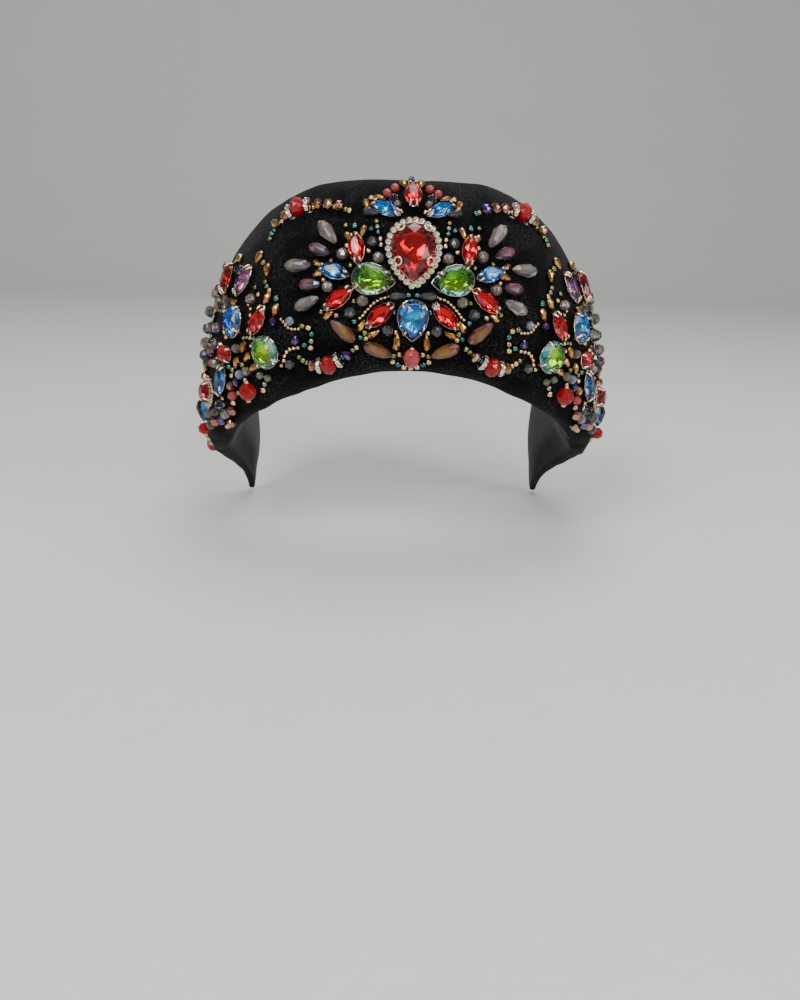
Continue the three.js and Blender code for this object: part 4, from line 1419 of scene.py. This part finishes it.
def side_trims() -> list[Trim]:
    """Trimmings of the temple motif, one half."""
    return [
        gold_drop(51.2, 59.0, 10, 3.5, 5.2), gold_drop(42.2, 54.4, -40, 3.5, 5.4),
        gold_drop(38.9, 51.4, -10, 3.5, 5.4), seed(OLIVE, 40.0, 53.4, 2.7), seed(OLIVE, 53.8, 60.0, 2.7),
        cut_round(CRYSTAL, 50.4, 55.8, 4.4),
        *seeds((OLIVE, STEEL_IRIS, SEED_GOLD), 2.7, ((39.8, 49.9), (38.6, 48.3)), 3),
        seed(TEAL_IRIS, 36.0, 46.8, 3.0), gold_drop(38.8, 47.6, -30, 3.5, 5.2),
        gold_drop(36.2, 45.4, -20, 3.5, 5.2), cut_round(CHAMPAGNE, 45.4, 48.6, 4.6),
        cut_round(AURORA, 60.4, 57.4, 5.4), gold_drop(59.6, 60.6, -20, 3.4, 5.0),
        cut_round(GREY, 57.8, 61.6, 4.8), cut_round(GREY, 64.6, 59.8, 5.0),
        cut_round(CRYSTAL, 58.4, 52.8, 4.6),
        *seeds((STEEL_IRIS, OLIVE), 2.6, ((65.4, 57.4), (67.0, 54.0), (67.6, 49.0)), 7),
        *seeds((SEED_GOLD,), 1.8, ((46.2, 49.6), (45.4, 47.4), (46.0, 44.8)), 6),
        *seeds((OLIVE, SEED_GOLD), 2.2, ((43.6, 50.2), (42.4, 48.8)), 2),
        *seeds((STEEL_IRIS, SEED_GOLD, OLIVE), 2.0, ((44.2, 43.0), (46.4, 43.6), (48.4, 44.0)), 4),
        seed(PURPLE, 57.0, 50.4, 2.8), seed(SEED_GOLD, 57.4, 48.4, 2.6), seed(SEED_GOLD, 56.6, 46.4, 2.6),
        cut_round(PURPLE, 37.0, 44.0, 3.8), cut_round(GREY, 61.6, 49.8, 4.8),
        cut_round(MAUVE, 61.6, 46.4, 4.6),
        *seeds((SEED_GOLD,), 2.0, ((34.9, 44.0), (33.1, 42.9), (31.2, 42.2), (29.4, 42.1)), 7),
        *seeds((SEED_GOLD,), 2.0, ((35.5, 38.3), (34.0, 39.4), (32.1, 39.9), (29.8, 39.8)), 7),
        *seeds((OLIVE, SEED_GOLD, TEAL_IRIS), 2.8,
               ((28.4, 42.2), (26.4, 41.8), (25.4, 40.8), (26.2, 39.7), (28.0, 39.3)), 6),
        cut_round(PURPLE, 30.2, 40.5, 4.0), cut_round(SMOKE, 32.4, 38.0, 4.2),
        cut_round(ICE, 32.0, 43.2, 3.8), cut_round(MAUVE, 64.4, 46.6, 5.0),
        cut_round(CHAMPAGNE, 62.6, 43.6, 4.8), cut_round(ROSE, 65.4, 44.6, 3.8),
        gold_drop(48.0, 42.6, -35, 3.5, 5.2), gold_drop(51.4, 41.0, -20, 3.4, 5.0),
        gold_drop(44.4, 39.0, -60, 3.4, 5.2), gold_drop(46.6, 40.8, -45, 3.4, 5.0),
        cut_round(CHAMPAGNE, 51.4, 43.0, 4.2), seed(OLIVE, 49.4, 40.2, 2.7),
        cut_round(PALE_GREEN, 42.2, 37.6, 3.4), cut_round(PALE_GREEN, 39.6, 36.9, 3.2),
        seed(STEEL_IRIS, 41.0, 36.2, 2.6), cut_round(ICE, 50.0, 38.4, 4.2),
        seed(SEED_GOLD, 42.4, 35.4, 2.8), seed(TEAL_IRIS, 57.0, 41.8, 2.8),
        seed(TEAL_IRIS, 55.6, 41.4, 2.8),
        *seeds((OLIVE, SEED_GOLD), 2.7, ((54.0, 40.4), (54.2, 39.4)), 2),
        cut_round(AURORA, 54.6, 38.4, 4.2),
        *seeds((SEED_GOLD, OLIVE), 2.6, ((63.0, 40.8), (62.6, 38.8), (60.6, 36.8)), 5),
        cut_round(ROSE, 54.4, 36.2, 4.2), seed(SEED_GOLD, 55.0, 35.0, 2.8),
        cut_round(AURORA, 56.0, 33.8, 4.6), cut_round(CRYSTAL, 62.4, 35.8, 4.6),
        cut_round(SMOKE, 66.0, 36.8, 4.4), cut_round(CHAMPAGNE, 60.0, 33.4, 4.8),
        cut_round(PURPLE, 63.6, 33.0, 4.6), cut_round(AURORA, 67.6, 33.6, 4.6),
        cut_round(SMOKE, 72.0, 33.6, 4.8), cut_round(CHAMPAGNE, 70.0, 36.2, 4.6),
        cut_round(AURORA, 58.4, 31.8, 4.0), seed(SEED_GOLD, 61.6, 31.6, 2.8),
        seed(SEED_GOLD, 75.4, 34.0, 2.8), Trim(Form.ROUND, CORAL, 78.4, 34.4, 6.2, 5.0),
        Trim(Form.DROP, TEAL, 75.4, 38.0, 6.2, 10.0, 10.0), cut_round(SMOKE, 54.6, 51.6, 4.4),
        seed(OLIVE, 52.6, 52.6), seed(SEED_GOLD, 51.4, 53.2), cut_round(CHAMPAGNE, 58.0, 57.0, 4.4),
        cut_round(AURORA, 72.4, 44.8, 4.4), cut_round(SMOKE, 70.0, 46.6, 4.6),
        seed(SEED_GOLD, 67.8, 47.2), cut_round(CRYSTAL, 66.4, 49.0, 4.2), seed(OLIVE, 74.6, 42.6),
        cut_round(GREY, 61.0, 54.8, 4.6), gold_drop(57.6, 53.6, -20), gold_drop(63.6, 55.4, -10),
        cut_round(GREY, 68.0, 57.4, 5.6), cut_round(SMOKE, 70.0, 54.4, 5.2),
        cut_round(CHAMPAGNE, 71.0, 51.4, 5.6), cut_round(MAUVE, 71.6, 48.4, 5.6),
        cut_round(GREY, 67.0, 52.6, 5.0), gold_drop(72.6, 46.2, -10, 3.6, 5.4),
        cut_round(PURPLE, 52.8, 38.0, 4.0), seed(SEED_GOLD, 48.2, 37.4), seed(OLIVE, 52.2, 36.2),
        cut_round(CHAMPAGNE, 47.6, 38.8, 4.2), cut_round(AURORA, 58.0, 44.6, 4.0),
        gold_drop(52.6, 50.8, 80),
        *seeds((SEED_GOLD, OLIVE), 2.5, ((82.0, 35.0), (92.0, 36.6), (101.0, 38.6)), 9),
    ]


@dataclass
class Bedding:
    """Keeps the small trimmings clear of the stones, the strings and each other."""

    rounds: int = 16
    blocks: list[tuple[Matrix, float, float, float]] = field(default_factory=list)

    def block(self, seat: Matrix, half_width: float, half_length: float, power: float = 2.0) -> None:
        """Takes up the room of a stone or a drop; a lower power makes its ends more pointed."""
        self.blocks.append((seat.inverted(), half_width, half_length, power))

    def settle(self, trims: Sequence[Trim]) -> None:
        """Nudges the trimmings apart along the velvet, a few times over."""
        for _ in range(self.rounds):
            spots = [FORM.skin(trim.side, trim.fan) for trim in trims]
            for index, trim in enumerate(trims):
                way = self.clear_blocks(spots[index], trim.radius)
                for other, spot in enumerate(spots):
                    gap = spots[index] - spot
                    short = trim.radius + trims[other].radius - gap.length
                    if other != index and short > 0 and gap.length > 1e-6:
                        way += gap.normalized() * short / 2
                self.nudge(trim, way)

    def clear_blocks(self, spot: Vector, radius: float) -> Vector:
        """Way out of the stones that a bead at a spot would cut into."""
        way = Vector()
        for inverse, half_width, half_length, power in self.blocks:
            local = inverse @ spot
            if abs(local.z) > 8:
                continue
            wide, long = half_width + radius, half_length + radius
            share = (abs(local.x / wide) ** power + abs(local.y / long) ** power) ** (1 / power)
            if 1e-3 < share < 1:
                flat = Vector((local.x, local.y, 0)) * (1 / share - 1)
                way += inverse.to_3x3().transposed() @ flat
        return way

    @staticmethod
    def nudge(trim: Trim, way: Vector) -> None:
        """Moves a bead along the velvet by its side and fan angles."""
        if trim.single or way.length < 1e-4:
            return
        along = (FORM.skin(trim.side + STEP, trim.fan) - FORM.skin(trim.side - STEP, trim.fan)) / (2 * STEP)
        up = (FORM.skin(trim.side, trim.fan + STEP) - FORM.skin(trim.side, trim.fan - STEP)) / (2 * STEP)
        trim.side += 0.7 * way.dot(along) / along.length_squared
        trim.fan += 0.7 * way.dot(up) / up.length_squared
        trim.side = max(trim.side, trim.radius / 1.55)


@dataclass
class Trimmings:
    """All small beads, joined into one piece for each finish."""

    bedding: Bedding
    sunk: float = 0.25

    def build(self, band: VelvetBand) -> list[bpy.types.Object]:
        """Settles the beads and lays them on the velvet on both halves.

        Args:
            band: The finished velvet.

        Returns:
            The pieces.
        """
        trims = centre_trims() + side_trims()
        self.bedding.settle(trims)
        pieces: dict[str, Piece] = {}
        for trim in trims:
            name = trim.finish.name
            if name not in pieces:
                pieces[name] = Piece(f"trim_{name}", [trim.finish], 400 + len(pieces))
            for _, sign in HALVES[:1] if trim.single else HALVES:
                lift = trim.width / 2 * 0.95 - self.sunk
                place = band.seat(sign * trim.side, trim.fan, sign * trim.turn, lift)
                pieces[name].add(trim.shape(), place, [trim.finish], (trim.width / 2, trim.length / 2))
        return [piece.place(self.slot(name)) for name, piece in pieces.items()]

    @staticmethod
    def slot(name: str) -> str:
        """Record slot of a trimming's finish."""
        words = {"gold": "gold", "bronze": "gold", "coral": "coral", "rose": "coral",
                 "crystal": "crystal_grey"}
        return next((slot for word, slot in words.items() if word in name), "beads")


# Stage


@dataclass(frozen=True)
class Studio:
    """Pale floor that curves up behind, soft lights and the camera at the photograph's angle."""

    azimuth: float = -3.3
    elevation: float = 8.6
    distance: float = 425.0
    target: tuple[float, float, float] = (0.0, -70.0, 90.0)
    pitch: float = -18.0
    roll: float = 1.5
    lens: float = 33.12

    def camera(self) -> None:
        """Sets the camera."""
        az, el, pitch, roll = (math.radians(a) for a in (self.azimuth, self.elevation, self.pitch, self.roll))
        back = Vector((math.sin(az) * math.cos(el), -math.cos(az) * math.cos(el), math.sin(el)))
        ahead = Vector((-math.sin(az) * math.cos(pitch), math.cos(az) * math.cos(pitch), math.sin(pitch)))
        right = Vector((math.cos(az), math.sin(az), 0))
        up = right.cross(ahead)
        right, up = right * math.cos(roll) + up * math.sin(roll), up * math.cos(roll) - right * math.sin(roll)
        data = bpy.data.cameras.new("camera")
        data.lens = self.lens
        data.clip_start = 0.01
        made = bpy.data.objects.new("camera", data)
        bpy.context.scene.collection.objects.link(made)
        turn = Matrix((right, up, -ahead)).transposed().to_4x4()
        made.matrix_world = Matrix.Translation((Vector(self.target) + back * self.distance) * MM) @ turn
        bpy.context.scene.camera = made

    def floor(self, half: float = 4.0, behind: float = 1.1, bend: float = 0.5, rise: float = 3.0) -> None:
        """Lays the floor and its backdrop as one bent sheet."""
        bm = bmesh.new()
        start = [bm.verts.new((x, -3.0, 0)) for x in (-half, half)]
        edges = [bm.edges.new(start)]
        curve = [(behind + bend * math.sin(a), bend * (1 - math.cos(a)))
                 for a in (math.pi / 2 * k / 12 for k in range(13))]
        before = Vector((0, -3.0, 0))
        for y, z in [*curve, (behind + bend, rise)]:
            grown = bmesh.ops.extrude_edge_only(bm, edges=edges)["geom"]
            verts = [g for g in grown if isinstance(g, bmesh.types.BMVert)]
            edges = [g for g in grown if isinstance(g, bmesh.types.BMEdge) and set(g.verts) <= set(verts)]
            bmesh.ops.translate(bm, verts=verts, vec=Vector((0, y, z)) - before)
            before = Vector((0, y, z))
        for face in bm.faces:
            face.smooth = True
        mesh = bpy.data.meshes.new("backdrop")
        bm.to_mesh(mesh)
        bm.free()
        mesh.materials.append(PAPER.material())
        made = bpy.data.objects.new("backdrop", mesh)
        bpy.context.scene.collection.objects.link(made)

    def lights(self) -> None:
        """Hangs the soft lights and a pale surround."""
        rows = (("key", (-0.55, -0.95, 0.95), 0.55, 10.5), ("fill", (0.85, -0.75, 0.55), 0.5, 4.2),
                ("top", (0.1, 0.1, 1.1), 0.7, 6.0), ("glint", (0.25, -1.2, 0.75), 0.16, 3.2))
        for name, spot, size, power in rows:
            data = bpy.data.lights.new(name, "AREA")
            data.size = size
            data.energy = power
            made = bpy.data.objects.new(name, data)
            made.location = spot
            aim = Vector((0, -0.06, 0.08)) - Vector(spot)
            made.rotation_euler = aim.to_track_quat("-Z", "Y").to_euler()
            bpy.context.scene.collection.objects.link(made)
        world = bpy.data.worlds.new("surround")
        world.use_nodes = True
        world.node_tree.nodes["Background"].inputs[0].default_value = rgb(0.9, 0.92, 0.95)
        world.node_tree.nodes["Background"].inputs[1].default_value = 0.32
        bpy.context.scene.world = world


# Making


def sewn_places() -> list[tuple[Vector, float]]:
    """Where stones and drops are sewn through the padding, with their reach."""
    found = []
    for sign in (1, -1):
        for row in (*CENTRE_STONES, *PAIRED_STONES, *CENTRE_HUNG, *PAIRED_HUNG):
            found.append((FORM.skin(sign * row.side, row.fan), row.width * 0.6))
    return found


def main() -> None:
    """Builds every piece in order."""
    logging.basicConfig(level=logging.INFO, format="%(name)s: %(message)s")
    studio = Studio()
    studio.camera()
    studio.lights()
    studio.floor()
    band = VelvetBand()
    band.build(sewn_places())
    bedding = Bedding()
    count = 0
    for row in (*CENTRE_STONES, *CENTRE_HUNG, *PAIRED_STONES, *PAIRED_HUNG):
        centred = row in CENTRE_STONES or row in CENTRE_HUNG
        lift = row.lift() if isinstance(row, Hung) else SEAT_GAP
        for suffix, sign in HALVES[:1] if centred else HALVES:
            place = FORM.seat(sign * row.side, row.fan, sign * row.turn, lift)
            row.build(row.name if centred else f"{row.name}_{suffix}", place, count)
            count += 1
            grow = 2 * Stone.halo_width if isinstance(row, Stone) and row.halo else 0.0
            power = 1.35 if isinstance(row, Stone) and row.cut is Cut.NAVETTE else 2.0
            bedding.block(place, (row.width + grow) / 2, (row.length + grow) / 2, power)
    for string in STRINGS:
        for suffix, sign in HALVES:
            string.build(f"{string.name}_{suffix}", sign, count)
            count += 1
        angles = string.route(1)
        for side, fan in angles[::8]:
            bedding.block(FORM.seat(side, fan, 0, 2.0), 2.2, 2.2)
    Trimmings(bedding).build(band)
    for mesh in Shapes.made.values():
        bpy.data.meshes.remove(mesh)


if __name__ == "__main__":
    main()
